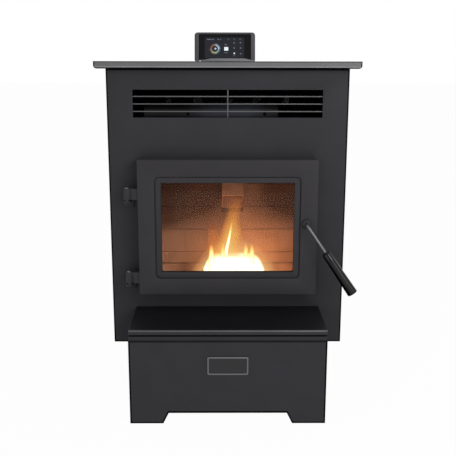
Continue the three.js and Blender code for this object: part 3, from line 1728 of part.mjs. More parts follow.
function doorFrame() {
  const top = doorBottom + doorHeight;
  const face = -doorFront + doorFace;
  const backPlate = doorBack - doorBackPlate;
  const glassHalf = windowWidth / 2 + glassLap;
  const glassBottom = windowBottom - glassLap;
  const glassTop = windowBottom + windowHeight + glassLap;
  const shell = extrudeY(rectangle(-doorHalf, doorHalf, doorBottom, top, doorRadius), -doorFront, doorBack);
  const hollow = block(
    -doorHalf + doorWall, doorHalf - doorWall, face, backPlate, doorBottom + doorWall, top - doorWall,
  );
  const glazing = block(
    -glassHalf - lidGap, glassHalf + lidGap, face, doorBack + doorWall, glassBottom - lidGap, glassTop + lidGap,
  );
  const recess = extrudeY(rectangle(
    -panelWidth / 2, panelWidth / 2, panelBottom, panelBottom + panelHeight, panelRadius,
  ), -doorFront - 1, -doorFront + panelRecess, 6);
  const panelEdge = extrudeY(withHoles(
    rectangle(-panelWidth / 2, panelWidth / 2, panelBottom, panelBottom + panelHeight, panelRadius),
    [rectangle(
      -panelWidth / 2 + panelGroove, panelWidth / 2 - panelGroove,
      panelBottom + panelGroove, panelBottom + panelHeight - panelGroove, panelRadius - panelGroove,
    )],
  ), -doorFront - 1, -doorFront + panelRecess + panelGrooveDepth, 6);
  const window = block(
    -windowWidth / 2, windowWidth / 2, -doorFront - 1, face + 1, windowBottom, windowBottom + windowHeight,
  );
  const grooveDepth = gasketRadius + gasketGrip;
  const gasketHalf = mouthHalf + gasketOffset + grooveDepth;
  const groove = rectangleRing(
    -gasketHalf, gasketHalf,
    mouthBottom - gasketOffset - grooveDepth, mouthBottom + mouthHeight + gasketOffset + grooveDepth,
    [[0, 0], [2 * grooveDepth, 0], [2 * grooveDepth, 2 * doorWall], [0, 2 * doorWall]],
  ).rotateX(Math.PI / 2).translate(0, gasketCentre - gasketRadius - seat + 2 * doorWall, 0);
  const pinHoles = Object.values(knuckleBottoms).map((bottom) => bar(
    [hingeX, hingeY, bottom - 1], [hingeX, hingeY, bottom + knuckleHeight + 1], hingePinRadius + running, 20,
  ));
  const knuckles = Object.values(knuckleBottoms).map(knuckle);
  return cut(
    join(cut(shell, hollow), ...knuckles),
    glazing,
    recess,
    panelEdge,
    window,
    groove,
    bar([latchX, -doorFront - 1, latchHeight], [latchX, face + 1, latchHeight], bushingNeck + seat, 20),
    bar([latchX, backPlate - 1, latchHeight], [latchX, doorBack + 1, latchHeight], rodRadius + 2 * seat + 1, 16),
    ...pinHoles,
  );
}

// Flat ring just inside the edge of the glass.
function glassRing(width, y0, y1, ease) {
  const half = windowWidth / 2 + glassLap;
  const bottom = windowBottom - glassLap;
  const top = windowBottom + windowHeight + glassLap;
  const inner = rectangle(-half + width, half - width, bottom + width, top - width, ease);
  return extrudeY(withHoles(rectangle(-half, half, bottom, top, ease), [inner]), y0, y1);
}

function doorGasket() {
  const half = mouthHalf + gasketOffset;
  const section = steps(10).map((i) => {
    const angle = (2 * Math.PI * i) / 10;
    return [gasketRadius * Math.cos(angle), gasketRadius * Math.sin(angle)];
  });
  return rectangleRing(
    -half, half, mouthBottom - gasketOffset, mouthBottom + mouthHeight + gasketOffset, section,
  ).rotateX(Math.PI / 2).translate(0, gasketCentre, 0);
}

function hingeLug() {
  const half = knuckleRadius;
  const tongue = new THREE.Shape();
  tongue.moveTo(-half, -seat);
  tongue.lineTo(-half, hingeY);
  tongue.absarc(0, hingeY, half, Math.PI, 2 * Math.PI);
  tongue.lineTo(half, -seat);
  tongue.holes.push(circle(0, hingeY, hingePinRadius + running));
  const pad = block(
    -lugPadWidth / 2, lugPadWidth / 2, -seat - lugPad, -seat, lugThickness - lugPadHeight, lugThickness,
  );
  return join(extrudeZ(tongue, 0, lugThickness, 8), pad);
}

function hingePin() {
  const length = lugThickness + lugDrop + knuckleHeight + seat;
  return turned([
    [0, 0],
    [hingePinRadius, 0],
    [hingePinRadius, length],
    [pinHeadRadius, length],
    [pinHeadRadius, length + pinHeadHeight * 0.4],
    [pinHeadRadius * 0.72, length + pinHeadHeight * 0.85],
    [0, length + pinHeadHeight],
  ], 20);
}

function hinges() {
  Object.entries(knuckleBottoms).forEach(([place, bottom]) => {
    const foot = bottom - lugDrop - lugThickness;
    const lug = part(`hinge_lug_${place}`, hingeLug(), blackPaint);
    lug.position.set(hingeX, 0, foot);
    const pin = part(`hinge_pin_${place}`, hingePin(), darkSteel);
    pin.position.set(hingeX, hingeY, foot);
  });
}

function latchRod() {
  const tail = new THREE.Vector3(0, rodTail, 0);
  const corner = new THREE.Vector3(0, -rodReach, 0);
  const end = along(corner, handleDirection, gripStart + gripBore - 2 * seat);
  const normal = tail.clone().sub(corner).cross(handleDirection).normalize();
  const rod = sweep(bentPath(tail, corner, end, rodBend, 7), normal, rodRadius, 14);
  const finger = block(
    -latchFingerWidth / 2, latchFingerWidth / 2,
    rodTail - latchFingerThickness, rodTail - seat,
    -latchFingerWidth / 2, latchFinger,
  );
  return join(rod, finger);
}

function latchGrip() {
  const rounding = 1.5;
  return turned([
    [rodRadius + running, 0],
    [gripStartRadius * 0.62, 0],
    [gripStartRadius * 0.62, 2 * rounding],
    [gripStartRadius - rounding, 2 * rounding],
    [gripStartRadius, 3 * rounding],
    [gripEndRadius, gripLength - gripEndEdge],
    [gripEndRadius - gripEndEdge, gripLength],
    [0, gripLength],
    [0, gripBore],
    [rodRadius + running, gripBore],
  ], 20);
}

function latchBushing() {
  const neckEnd = -doorFace;
  return turned([
    [rodRadius + running, neckEnd],
    [bushingNeck, neckEnd],
    [bushingNeck, 0],
    [bushingRadius, 0],
    [bushingRadius, bushingHeight - 2],
    [bushingRadius - 2, bushingHeight],
    [rodRadius + running, bushingHeight],
  ]);
}

function latch() {
  const bushing = part("latch_bushing", latchBushing(), darkSteel);
  bushing.position.set(latchX, -doorFront - seat, latchHeight);
  bushing.rotation.x = Math.PI / 2;
  const frame = group(latchX, 0, latchHeight);
  part("latch_rod", latchRod(), darkSteel, frame);
  const grip = part("latch_grip", latchGrip(), glossBlack, frame);
  grip.position.copy(along(new THREE.Vector3(0, -rodReach, 0), handleDirection, gripStart));
  grip.quaternion.setFromUnitVectors(new THREE.Vector3(0, 0, 1), handleDirection);
}

function door() {
  const tapeFront = -doorFront + doorFace + seat;
  const glassBack = glassFront + glassThickness;
  const half = windowWidth / 2 + glassLap;
  const pane = rectangle(
    -half, half, windowBottom - glassLap, windowBottom + windowHeight + glassLap, doorWall,
  );
  part("door_frame", doorFrame(), castPaint);
  part("door_glass", extrudeY(pane, glassFront, glassBack), glass);
  part("glass_gasket", glassRing(tapeWidth, tapeFront, tapeFront + tapeThickness, doorWall), rope);
  part("glass_retainer", glassRing(retainerWidth, glassBack + seat, glassBack + seat + retainerSheet, doorWall), darkSteel);
  part("door_gasket", doorGasket(), rope);
}

// ---------------------------------------------------------------- assembly

part("pedestal", pedestal(), blackPaint);
part("hearth_shelf", hearthShelf(), blackPaint);
badgePlace();
part("cabinet_floor", cabinetFloor(), blackPaint);
part("front_panel", frontPanel(), blackPaint);
part("left_side_panel", sidePanel(-1), blackPaint);
part("right_side_panel", sidePanel(1), blackPaint);
part("rear_panel", rearPanel(), blackPaint);
part("top_plate", topPlate(), greyPaint);
warmAirOutlet();
part("firebox", firebox(), darkSteel);
part("feed_chute", feedChute(), darkSteel);
part("firebox_stand", fireboxStand(), darkSteel);
part("heat_exchanger", heatExchanger(), darkSteel);
firebricks();
part("burn_pot_stand", burnPotStand(), darkSteel);
part("burn_pot", burnPot(), darkSteel);
part("ash_pan", ashPan(), darkSteel);
part("air_intake_pipe", airIntakePipe(), galvanised);
part("igniter", igniter(), brightSteel);
feedAuger();
hopperAndLid();
exhaust();
convection();
electrics();
display();
door();
hinges();
latch();

export default stove;
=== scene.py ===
"""Dresses the pellet stove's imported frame: paint, glass, brick, fire, display and badge."""

import math
import random

import bmesh
import bpy
from mathutils import Matrix, Vector
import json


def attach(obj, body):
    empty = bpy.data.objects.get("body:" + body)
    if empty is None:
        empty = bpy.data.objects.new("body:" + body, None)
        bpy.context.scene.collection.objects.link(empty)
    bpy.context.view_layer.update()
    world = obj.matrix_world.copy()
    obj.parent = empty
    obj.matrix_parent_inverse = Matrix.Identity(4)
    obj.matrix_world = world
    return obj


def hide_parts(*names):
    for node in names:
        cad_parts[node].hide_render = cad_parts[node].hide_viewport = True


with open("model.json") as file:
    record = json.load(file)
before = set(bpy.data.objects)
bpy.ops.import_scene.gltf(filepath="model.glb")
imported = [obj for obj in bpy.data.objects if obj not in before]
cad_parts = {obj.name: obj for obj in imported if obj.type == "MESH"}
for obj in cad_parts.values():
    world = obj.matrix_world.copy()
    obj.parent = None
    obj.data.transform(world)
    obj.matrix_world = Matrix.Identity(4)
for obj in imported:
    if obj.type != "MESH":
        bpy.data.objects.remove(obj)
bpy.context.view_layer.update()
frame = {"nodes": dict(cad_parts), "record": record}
NODES = frame["nodes"]
BEHAVIOUR = frame["record"]["behaviour"]
BODY_OF = {node: body for body, nodes in BEHAVIOUR["bodies"].items() for node in nodes}

# ---------------------------------------------------------------- sizes, in millimetres

BODY_FRONT = -174.5  # y of the body's front face in the frame
LENS = 58.14
SENSOR = 36.0
CAMERA_AT = (-11.033, -1835.428, 865.306)
PITCH, YAW, ROLL = 0.2212945, 0.0065601, 0.0015263

DISPLAY_FOOT = (-7.0, 163.0, 869.8)
DISPLAY_TILT = math.radians(12)
SCREEN_FRONT = -25.8

LATCH = (195.0, -68.0, 474.0)
HANDLE_FALL = math.radians(55.6)
HANDLE_LEAN = math.radians(6.5)
GRIP_START, GRIP_LENGTH = 81.0, 123.4
GRIP_START_RADIUS, GRIP_END_RADIUS = 10.6, 12.9

OUTLINE = 4.2  # width of the dark strips of painted shade round the cabinet and the base
ARCH_OUTLINE = 5.2
PANEL_HALF, PANEL_FOOT, PANEL_TOP = 298.5, 144.5, 850.2
PEDESTAL_HALF = 239.2
ARCH_HALF, ARCH_TOP, ARCH_SLANT = PEDESTAL_HALF - 81.2, 27.5, 13.5
UNDER_LIP_FOOT = 210.5
SKIRT_FOOT_STRIP, LIP_SHADOW = 216.0, 225.5  # heights that part the shelf's skirt from its strips of painted shade
PLATE_END = 320.6
PLATE_LOW_STRIP, PLATE_HIGH_STRIP = 855.5, 865.0
SHELF_TOP_FRONT, SHELF_FACE = -176, -160  # the top ends at the first, forward of the second is lip
SHELF_TOP_FROM, LIP_HIGHLIGHT_FROM, LIP_FROM = 240, 236, 230

FIREBOX_HALF, FIREBOX_FLOOR, FIREBOX_ROOF = 212.5, 260, 794
FIREBOX_FRONT, FIREBOX_BACK = 6.5, 242.5
FIREBOX_BEND, FIREBOX_LEAN = 625, 1.87

GROOVE_FRONT, GROOVE_BACK = -45.8, -43.2
GROOVE_HALF, GROOVE_FOOT, GROOVE_TOP = 183, 331, 593
GROOVE_WIDTH = 11

DISPLAY_FEET = [("display_foot_left", -79.0), ("display_foot_right", 65.5)]
FOOT_HALF, FOOT_FRONT, FOOT_BACK = 6, 139, 160
FOOT_LEVELS = ((868.1, 0.85), (868.5, 1.0), (869.6, 1.0))  # height and share of the width

FEED_X, POT_MIDDLE = 15.0, 120
HEAP_REACH_X, HEAP_REACH_Y, HEAP_FOOT, HEAP_RISE = 52, 32, 296, 26
SHARP = math.radians(28)  # edges bent by more than this are eased

# sizes in the shaders, in metres in the frame
BRICK_FOOT, BRICK_TOP = 0.30, 0.60
SOOT_MIDDLE, SOOT_START = 0.045, 0.375
LIGHT_POOL_MIDDLE, LIGHT_POOL_REACH = 0.035, 0.125


def at(x, y, z):
    """A point given from the body's front face, in metres in the frame."""
    return Vector((x, y + BODY_FRONT, z)) / 1000


# ---------------------------------------------------------------- materials


def new_material(name):
    mat = bpy.data.materials.new(name)
    mat.use_nodes = True
    return mat, mat.node_tree.nodes["Principled BSDF"]


def add_node(mat, kind, **values):
    node = mat.node_tree.nodes.new(kind)
    for key, value in values.items():
        if key in node.inputs:
            node.inputs[key].default_value = value
        else:
            setattr(node, key, value)
    return node


def wire(mat, source, target):
    mat.node_tree.links.new(source, target)


def noise(mat, scale, detail=3.0, roughness=0.5):
    """Noise in the frame's own coordinates, so it stays put on the piece."""
    place = add_node(mat, "ShaderNodeTexCoord")
    texture = add_node(mat, "ShaderNodeTexNoise", Scale=scale, Detail=detail, Roughness=roughness)
    wire(mat, place.outputs["Object"], texture.inputs["Vector"])
    return texture.outputs["Fac"]


def position(mat):
    """X, Y and Z of the point being shaded, in metres in the frame."""
    place = add_node(mat, "ShaderNodeTexCoord")
    split = add_node(mat, "ShaderNodeSeparateXYZ")
    wire(mat, place.outputs["Object"], split.inputs["Vector"])
    return split.outputs


def ramp(mat, value, stops):
    node = add_node(mat, "ShaderNodeValToRGB")
    elements = node.color_ramp.elements
    while len(elements) < len(stops):
        elements.new(0.5)
    for element, (place, color) in zip(elements, stops):
        element.position = place
        element.color = (*color, 1)
    wire(mat, value, node.inputs["Fac"])
    return node.outputs["Color"]


def bump(mat, bsdf, height, strength, distance):
    node = add_node(mat, "ShaderNodeBump", Strength=strength, Distance=distance)
    wire(mat, height, node.inputs["Height"])
    wire(mat, node.outputs["Normal"], bsdf.inputs["Normal"])


def surface(name, color, roughness, metallic=0.0, specular=0.5, mottle=0.0, grain=0.0, grain_size=900.0):
    """Plain finish with a little mottling of its colour and, with grain, a fine texture."""
    mat, bsdf = new_material(name)
    bsdf.inputs["Metallic"].default_value = metallic
    bsdf.inputs["Roughness"].default_value = roughness
    bsdf.inputs["Specular IOR Level"].default_value = specular
    bsdf.inputs["Base Color"].default_value = (*color, 1)
    if mottle:
        low = tuple(c * (1 - mottle) for c in color)
        high = tuple(c * (1 + mottle) for c in color)
        wire(mat, ramp(mat, noise(mat, 14.0), [(0.3, low), (0.7, high)]), bsdf.inputs["Base Color"])
    if grain:
        bump(mat, bsdf, noise(mat, grain_size, 2.0), grain, 0.0004)
    return mat


def lightless(bsdf):
    """Keeps a light-giving surface from reflecting anything."""
    bsdf.inputs["Base Color"].default_value = (0, 0, 0, 1)
    bsdf.inputs["Specular IOR Level"].default_value = 0.0
    bsdf.inputs["Roughness"].default_value = 1.0


def glow(name, color, strength):
    """Light-giving surface of one colour."""
    mat, bsdf = new_material(name)
    lightless(bsdf)
    bsdf.inputs["Emission Color"].default_value = (*color, 1)
    bsdf.inputs["Emission Strength"].default_value = strength
    return mat


def calc(mat, operation, a, b=None, c=None):
    """Result of a sum on numbers and sockets."""
    node = add_node(mat, "ShaderNodeMath", operation=operation)
    for socket, value in zip(node.inputs, (a, b, c)):
        if value is None:
            continue
        if isinstance(value, (int, float)):
            socket.default_value = value
        else:
            wire(mat, value, socket)
    return node.outputs["Value"]


def flame_material(name, foot, tip, width, stops, strength, flicker, power):
    """Fire that is hottest at its foot and thins out towards its sides and tip.

    Foot and tip are in millimetres; each stop holds a heat, a colour and a cover. A higher
    power gives a squarer flame.
    """
    mat, bsdf = new_material(name)
    low, high = at(*foot), at(*tip)
    rise = high - low
    place = add_node(mat, "ShaderNodeTexCoord")
    into = add_node(mat, "ShaderNodeMapping", vector_type="TEXTURE")
    into.inputs["Location"].default_value = low
    into.inputs["Rotation"].default_value = (0, math.atan2(rise.x, rise.z), 0)
    into.inputs["Scale"].default_value = (width / 2000, 1, rise.length)
    wire(mat, place.outputs["Object"], into.inputs["Vector"])
    split = add_node(mat, "ShaderNodeSeparateXYZ")
    wire(mat, into.outputs["Vector"], split.inputs["Vector"])
    ripple = calc(mat, "MULTIPLY_ADD", noise(mat, 26.0, 3.0, 0.55), 2 * flicker, -flicker)
    across = calc(mat, "ADD", split.outputs["X"], ripple)
    up = calc(mat, "MULTIPLY_ADD", ripple, 0.4, split.outputs["Z"])
    spread = calc(mat, "ADD", calc(mat, "POWER", calc(mat, "ABSOLUTE", across), power), up)
    heat = calc(mat, "SUBTRACT", 1.0, spread)
    color = ramp(mat, heat, [(level, color) for level, color, _cover in stops])
    cover = ramp(mat, heat, [(level, (cover,) * 3) for level, _color, cover in stops])
    wire(mat, color, bsdf.inputs["Emission Color"])
    wire(mat, cover, bsdf.inputs["Alpha"])
    lightless(bsdf)
    bsdf.inputs["Emission Strength"].default_value = strength
    return mat


def brick_material():
    """Firebrick, lighter low down and darker towards the top, with soot high up on both sides of the chute.
    """
    mat, bsdf = new_material("firebrick_surface")
    x, _y, z = position(mat)
    height = add_node(mat, "ShaderNodeMapRange")
    height.inputs["From Min"].default_value = BRICK_FOOT
    height.inputs["From Max"].default_value = BRICK_TOP
    wire(mat, z, height.inputs["Value"])
    wobble = calc(mat, "MULTIPLY_ADD", noise(mat, 11.0, 5.0, 0.6), 0.5, height.outputs["Result"])
    color = ramp(mat, wobble, [
        (0.15, (0.50, 0.33, 0.24)),
        (0.55, (0.34, 0.20, 0.13)),
        (1.0, (0.20, 0.105, 0.07)),
    ])
    aside = calc(mat, "ABSOLUTE", calc(mat, "SUBTRACT", x, SOOT_MIDDLE))
    aside = calc(mat, "MULTIPLY_ADD", noise(mat, 9.0, 4.0, 0.6), 0.08, aside)
    above = calc(mat, "MULTIPLY", calc(mat, "SUBTRACT", z, SOOT_START), 9.0)
    above = calc(mat, "MINIMUM", calc(mat, "MAXIMUM", above, 0.0), 1.0)
    sooty = calc(mat, "MULTIPLY", calc(mat, "MULTIPLY", aside, above), 9.0)
    shade = ramp(mat, sooty, [(0.25, (1, 1, 1)), (0.95, (0.42, 0.37, 0.35))])
    sooted = add_node(mat, "ShaderNodeMix", data_type="RGBA", blend_type="MULTIPLY")
    sooted.inputs["Factor"].default_value = 1.0
    wire(mat, color, sooted.inputs["A"])
    wire(mat, shade, sooted.inputs["B"])
    wire(mat, sooted.outputs["Result"], bsdf.inputs["Base Color"])
    bsdf.inputs["Roughness"].default_value = 0.95
    bsdf.inputs["Specular IOR Level"].default_value = 0.1
    bump(mat, bsdf, noise(mat, 60.0, 6.0, 0.6), 0.5, 0.002)
    return mat


def deflector_material():
    """Sooty steel with a painted pool of light towards its middle, lighter and faintly blue there."""
    mat = surface("sooty_steel_with_painted_light", (0.012, 0.0125, 0.015), 0.35, metallic=0.6, specular=0.3)
    x, _y, _z = position(mat)
    patch = calc(mat, "MULTIPLY_ADD", noise(mat, 18.0), 0.05, x)
    aside = calc(mat, "ABSOLUTE", calc(mat, "SUBTRACT", patch, LIGHT_POOL_MIDDLE))
    inner = calc(mat, "SUBTRACT", LIGHT_POOL_REACH, aside)
    # painted light: lighter and bluer towards the middle, darker to the sides
    color = ramp(mat, calc(mat, "MULTIPLY", inner, 12.0), [
        (0.0, (0.0035, 0.0035, 0.0038)), (0.5, (0.012, 0.012, 0.014)), (1.0, (0.028, 0.029, 0.038)),
    ])
    wire(mat, color, mat.node_tree.nodes["Principled BSDF"].inputs["Base Color"])
    return mat


def glass_material():
    """Clear glass with the faint brown of the heat on it."""
    mat, bsdf = new_material("fire_glass")
    bsdf.inputs["Base Color"].default_value = (0.93, 0.88, 0.84, 1)
    bsdf.inputs["Transmission Weight"].default_value = 1.0
    bsdf.inputs["Roughness"].default_value = 0.0
    bsdf.inputs["IOR"].default_value = 1.12
    return mat


PAINT = surface("satin_black_paint", (0.0200, 0.0190, 0.0225), 0.58, specular=0.22, mottle=0.08,
                grain=0.05)
CAST = surface("cast_black_paint", (0.0250, 0.0232, 0.0262), 0.62, specular=0.22, mottle=0.07, grain=0.12,
               grain_size=600.0)
# near black: the own colour of the screws and rubber feet, and painted shade in the strips along edges
BLACK_AND_EDGE_SHADE = surface("black_and_painted_edge_shade", (0.0015, 0.0015, 0.0018), 0.7, specular=0.05, mottle=0.1)
# painted shade: dark strips under the shelf's lip and at the foot of its skirt
UNDER_LIP_SHADE = surface("painted_shade_under_lip", (0.0060, 0.0058, 0.0064), 0.6, specular=0.1, mottle=0.1,
                    grain=0.05)
# painted highlight along the shelf lip's upper rounded edge
LIP_HIGHLIGHT = surface("painted_highlight_lip_edge", (0.075, 0.075, 0.080), 0.4, specular=0.3, mottle=0.1)
# painted shade on the upper strip of the top plate's front rim
PLATE_TOP_SHADE = surface("painted_shade_plate_upper_edge", (0.050, 0.050, 0.052), 0.5, specular=0.2, mottle=0.1)
# lighter copy of the shelf's paint on the lip's face: painted light
LIT_SHELF_LIP = surface("shelf_lip_painted_light", (0.0215, 0.0210, 0.0235), 0.5, specular=0.2, mottle=0.08,
                    grain=0.05)
# painted highlight along the lower rounded edge of the top plate's rim
PLATE_HIGHLIGHT = surface("painted_highlight_plate_lower_edge", (0.25, 0.25, 0.255), 0.4, specular=0.35, mottle=0.06,
                      grain=0.05)
# painted shade in the groove round the door's window
GROOVE_SHADE = surface("painted_shade_door_groove", (0.003, 0.003, 0.0033), 0.8, specular=0.05, mottle=0.1)
# a darker copy of the black paint: painted shade over the shelf where no other tone is set
SHELF = surface("shelf_paint_shaded", (0.0160, 0.0155, 0.0175), 0.5, specular=0.22, mottle=0.08, grain=0.05)
# painted shade on the shelf's top, near black
SHELF_TOP_SHADE = surface("painted_shade_shelf_top", (0.0066, 0.0066, 0.0084), 0.42, specular=0.12, mottle=0.15,
                    grain=0.04)
CHUTE = surface("sooty_chute", (0.44, 0.235, 0.145), 0.95, specular=0.08, mottle=0.25, grain=0.5,
                grain_size=160.0)
ASHED = surface("ash_dusted_steel", (0.46, 0.29, 0.20), 0.95, specular=0.08, mottle=0.30, grain=0.5,
                grain_size=160.0)
SOOT_BLACK = surface("stove_black", (0.0008, 0.0008, 0.0009), 0.9, specular=0.0, mottle=0.3)
DEFLECTOR = deflector_material()
# lighter grey than the paint, standing for the light the bracket's lip catches: painted highlight
LIT_BRACKET = surface("bracket_painted_light", (0.19, 0.19, 0.195), 0.45, specular=0.3, mottle=0.06, grain=0.05)
GREY = surface("top_plate_paint", (0.120, 0.120, 0.124), 0.45, specular=0.35, mottle=0.04, grain=0.05)
ROD = surface("grille_rod", (0.085, 0.085, 0.088), 0.4, metallic=0.3, mottle=0.15)
STEEL = surface("blackened_steel", (0.020, 0.018, 0.017), 0.6, metallic=0.3, specular=0.3, mottle=0.2)
LATCH_STEEL = surface("latch_steel", (0.10, 0.10, 0.105), 0.28, metallic=0.8, mottle=0.2)
BUSHING = surface("latch_bushing_black", (0.006, 0.006, 0.0065), 0.5, metallic=0.2, mottle=0.2)
ZINC = surface("galvanised_sheet", (0.42, 0.43, 0.45), 0.42, metallic=0.8, mottle=0.12)
BRIGHT = surface("bright_steel", (0.45, 0.45, 0.45), 0.3, metallic=0.9)
ALUMINIUM = surface("cast_aluminium", (0.55, 0.55, 0.56), 0.38, metallic=0.9)
ROPE = surface("sealing_rope", (0.07, 0.065, 0.06), 0.95, specular=0.1, grain=0.6, grain_size=700.0)
PLASTIC = surface("black_plastic", (0.012, 0.012, 0.013), 0.45, specular=0.35)
BEZEL = surface("display_bezel", (0.054, 0.054, 0.060), 0.45, specular=0.35)
SCREEN = surface("display_glass", (0.0035, 0.0035, 0.0045), 0.14, specular=0.12, mottle=0.1)
GRIP = surface("latch_grip_gloss", (0.0012, 0.0012, 0.0014), 0.09, specular=0.22, mottle=0.1)
BADGE_RIM = surface("badge_rim_steel", (0.13, 0.13, 0.135), 0.35, metallic=0.8)
BADGE_FIELD = surface("badge_field_paint", (0.014, 0.0135, 0.015), 0.5, specular=0.3, grain=0.3)
BRICK = brick_material()
GLASS = glass_material()

FINISH = {
    "black_paint": PAINT,
    "cast_paint": CAST,
    "grey_paint": GREY,
    "dark_steel": STEEL,
    "galvanised": ZINC,
    "bright_steel": BRIGHT,
    "aluminium": ALUMINIUM,
    "firebrick": BRICK,
    "rope": ROPE,
    "gloss_black": SCREEN,
    "black_plastic": PLASTIC,
    "glass": GLASS,
}
SLOT_OF = {row["node"]: row["material_slot"] for row in frame["record"]["subparts"]}
OWN_FINISH = {
    "badge_frame": BADGE_RIM,
    "badge_field": BADGE_FIELD,
    "air_grille": ROD,
    "air_deflector": DEFLECTOR,
    "display_bracket": LIT_BRACKET,
    "deflector_screw_left": BLACK_AND_EDGE_SHADE,
    "deflector_screw_right": BLACK_AND_EDGE_SHADE,
    "display_housing": BEZEL,
    "hinge_pin_upper": LATCH_STEEL,
    "hinge_pin_lower": LATCH_STEEL,
    "latch_bushing": BUSHING,
}

# ---------------------------------------------------------------- pieces


def link(name, mesh, mat, body, smooth=None):
    """Object with one finish; with a body it rides on that body."""
    mesh.materials.clear()
    mesh.materials.append(mat)
    piece = bpy.data.objects.new(name, mesh)
    bpy.context.scene.collection.objects.link(piece)
    if smooth is not None:
        mesh.shade_smooth()
        mesh.set_sharp_from_angle(angle=math.radians(smooth))
    if body:
        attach(piece, body)
    return piece


def mesh_of(name, build, transform):
    """Mesh from a function that fills a bmesh, with its points in millimetres."""
    bm = bmesh.new()
    build(bm)
    bmesh.ops.recalc_face_normals(bm, faces=bm.faces)
    bm.transform(transform @ Matrix.Scale(0.001, 4))
    mesh = bpy.data.meshes.new(name)
    bm.to_mesh(mesh)
    bm.free()
    return mesh


def rounded(node, width, segments=2, mat=None, smooth=32, wide=None, share=0.4, planes=()):
    """The CAD node with its edges eased; the piece stands for the node.

    Edges that pass the wide test get the whole width, and the others a share of it. Planes,
    each a point and a normal, split faces so that a strip of them can take another finish.
    """
    mesh = NODES[node].data.copy()
    bm = bmesh.new()
    bm.from_mesh(mesh)
    bmesh.ops.remove_doubles(bm, verts=bm.verts, dist=2e-6)
    bmesh.ops.dissolve_limit(bm, angle_limit=math.radians(1), verts=bm.verts, edges=bm.edges)
    for point, normal in planes:
        bmesh.ops.bisect_plane(bm, geom=bm.verts[:] + bm.edges[:] + bm.faces[:], dist=1e-6,
                               plane_co=at(*point), plane_no=normal)
    weight = bm.edges.layers.float.new("bevel_weight_edge")
    for edge in bm.edges:
        if edge.calc_face_angle(0) > SHARP:
            ends = [body_point(vert.co) for vert in edge.verts]
            edge[weight] = 1.0 if wide is None or wide(*ends) else share
    bm.to_mesh(mesh)
    bm.free()
    skin = f"{node}_skin"
    mesh.name = skin
    piece = link(skin, mesh, mat or finish_of(node), None)
    if width:
        easing = piece.modifiers.new("easing", "BEVEL")
        easing.width = width / 1000
        easing.segments = segments
        easing.limit_method = "WEIGHT"
        graph = bpy.context.evaluated_depsgraph_get()
        mesh = bpy.data.meshes.new_from_object(piece.evaluated_get(graph))
        piece.modifiers.clear()
        piece.data = mesh
    mesh.shade_smooth()
    mesh.set_sharp_from_angle(angle=math.radians(smooth))
    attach(piece, BODY_OF[node])
    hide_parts(node)
    return piece


def finish_of(node):
    return OWN_FINISH.get(node) or FINISH[SLOT_OF[node]]


def at_height(z):
    """Plane that parts a piece's faces at a height."""
    return (0, 0, z), (0, 0, 1)


def at_side(x):
    """Plane that parts a piece's faces at a distance to the side."""
    return (x, 0, 0), (1, 0, 0)


def body_point(point):
    """A point of the frame as millimetres from the body's front face."""
    return Vector((point.x, point.y, point.z)) * 1000 - Vector((0, BODY_FRONT, 0))


def repaint(piece, *rules):
    """Gives faces another finish by their place and direction; the first rule that fits wins."""
    mesh = piece.data
    first = len(mesh.materials)
    for mat, _test in rules:
        mesh.materials.append(mat)
    for face in mesh.polygons:
        centre = body_point(face.center)
        for i, (_mat, test) in enumerate(rules):
            if test(centre, face.normal):
                face.material_index = first + i
                break


def tube_mesh(name, rings):
    """Closed mesh through rings of points, each ring as long as the next."""
    def build(bm):
        rows = [[bm.verts.new(point) for point in ring] for ring in rings]
        for a, b in zip(rows, rows[1:]):
            for i, vert in enumerate(a):
                j = (i + 1) % len(a)
                bm.faces.new((vert, a[j], b[j], b[i]))
        bm.faces.new(rows[0][::-1])
        bm.faces.new(rows[-1])
    return mesh_of(name, build, Matrix.Translation(at(0, 0, 0)))


def lathe_rings(foot, direction, profile, sides):
    """Rings of a turned piece along a direction; profile holds (distance, radius) pairs."""
    across = direction.orthogonal().normalized()
    other = direction.cross(across)
    rings = []
    for distance, radius in profile:
        centre = foot + direction * distance
        rings.append([
            centre + (across * math.cos(a) + other * math.sin(a)) * radius
            for a in (2 * math.pi * i / sides for i in range(sides))
        ])
    return rings


# CAD pieces whose edges are eased, with the width of the easing
EASED = {
    "left_side_panel": 0.5,
    "right_side_panel": 0.5,
    "rear_panel": 0.4,
    "display_bracket": 0.5,
    "badge_frame": 0.5,
    "hopper_lid": 0.6,
    "control_box": 0.6,
    "burn_pot": 0.5,
    "firebox_stand": 0.5,
    "lid_hinge_leaf": 0.4,
    "hinge_lug_upper": 0.7,
    "hinge_lug_lower": 0.7,
    "power_inlet": 0.6,
}
CURVED = [
    "flue_outlet", "air_intake_pipe", "exhaust_motor", "convection_motor",
    "auger_tube", "auger_screw", "auger_motor", "hopper_lid_knob", "exhaust_housing",
    "exhaust_impeller", "convection_housing", "convection_wheel", "vacuum_switch", "igniter",
    "deflector_screw_left", "deflector_screw_right", "lid_hinge_pin", "hinge_pin_upper",
    "hinge_pin_lower", "latch_bushing", "air_grille", "air_deflector", "door_gasket",
]


def in_firebox(point):
    """True for points inside the firebox's walls; its front leans back above a bend."""
    x, y, z = point
    front = FIREBOX_FRONT + max(z - FIREBOX_BEND, 0) * FIREBOX_LEAN
    return abs(x) < FIREBOX_HALF and front < y < FIREBOX_BACK and FIREBOX_FLOOR < z < FIREBOX_ROOF


def front_panel():
    side, foot, lip = PANEL_HALF - OUTLINE, PANEL_FOOT + OUTLINE, PANEL_TOP - OUTLINE
    front = rounded(
        "front_panel", 2.4, wide=lambda a, b: min(abs(a.x), abs(b.x)) > 290 or max(a.z, b.z) < 150,
        share=0.3, planes=[at_side(side), at_side(-side), at_height(foot), at_height(lip)],
    )
    # dark strips of painted shade along the panel's sides, foot and top edge
    repaint(front, (BLACK_AND_EDGE_SHADE, lambda c, n: n.z < 0.3 and n.y < 0.3 and
                    (abs(c.x) > side or c.z < foot or c.z > lip)))


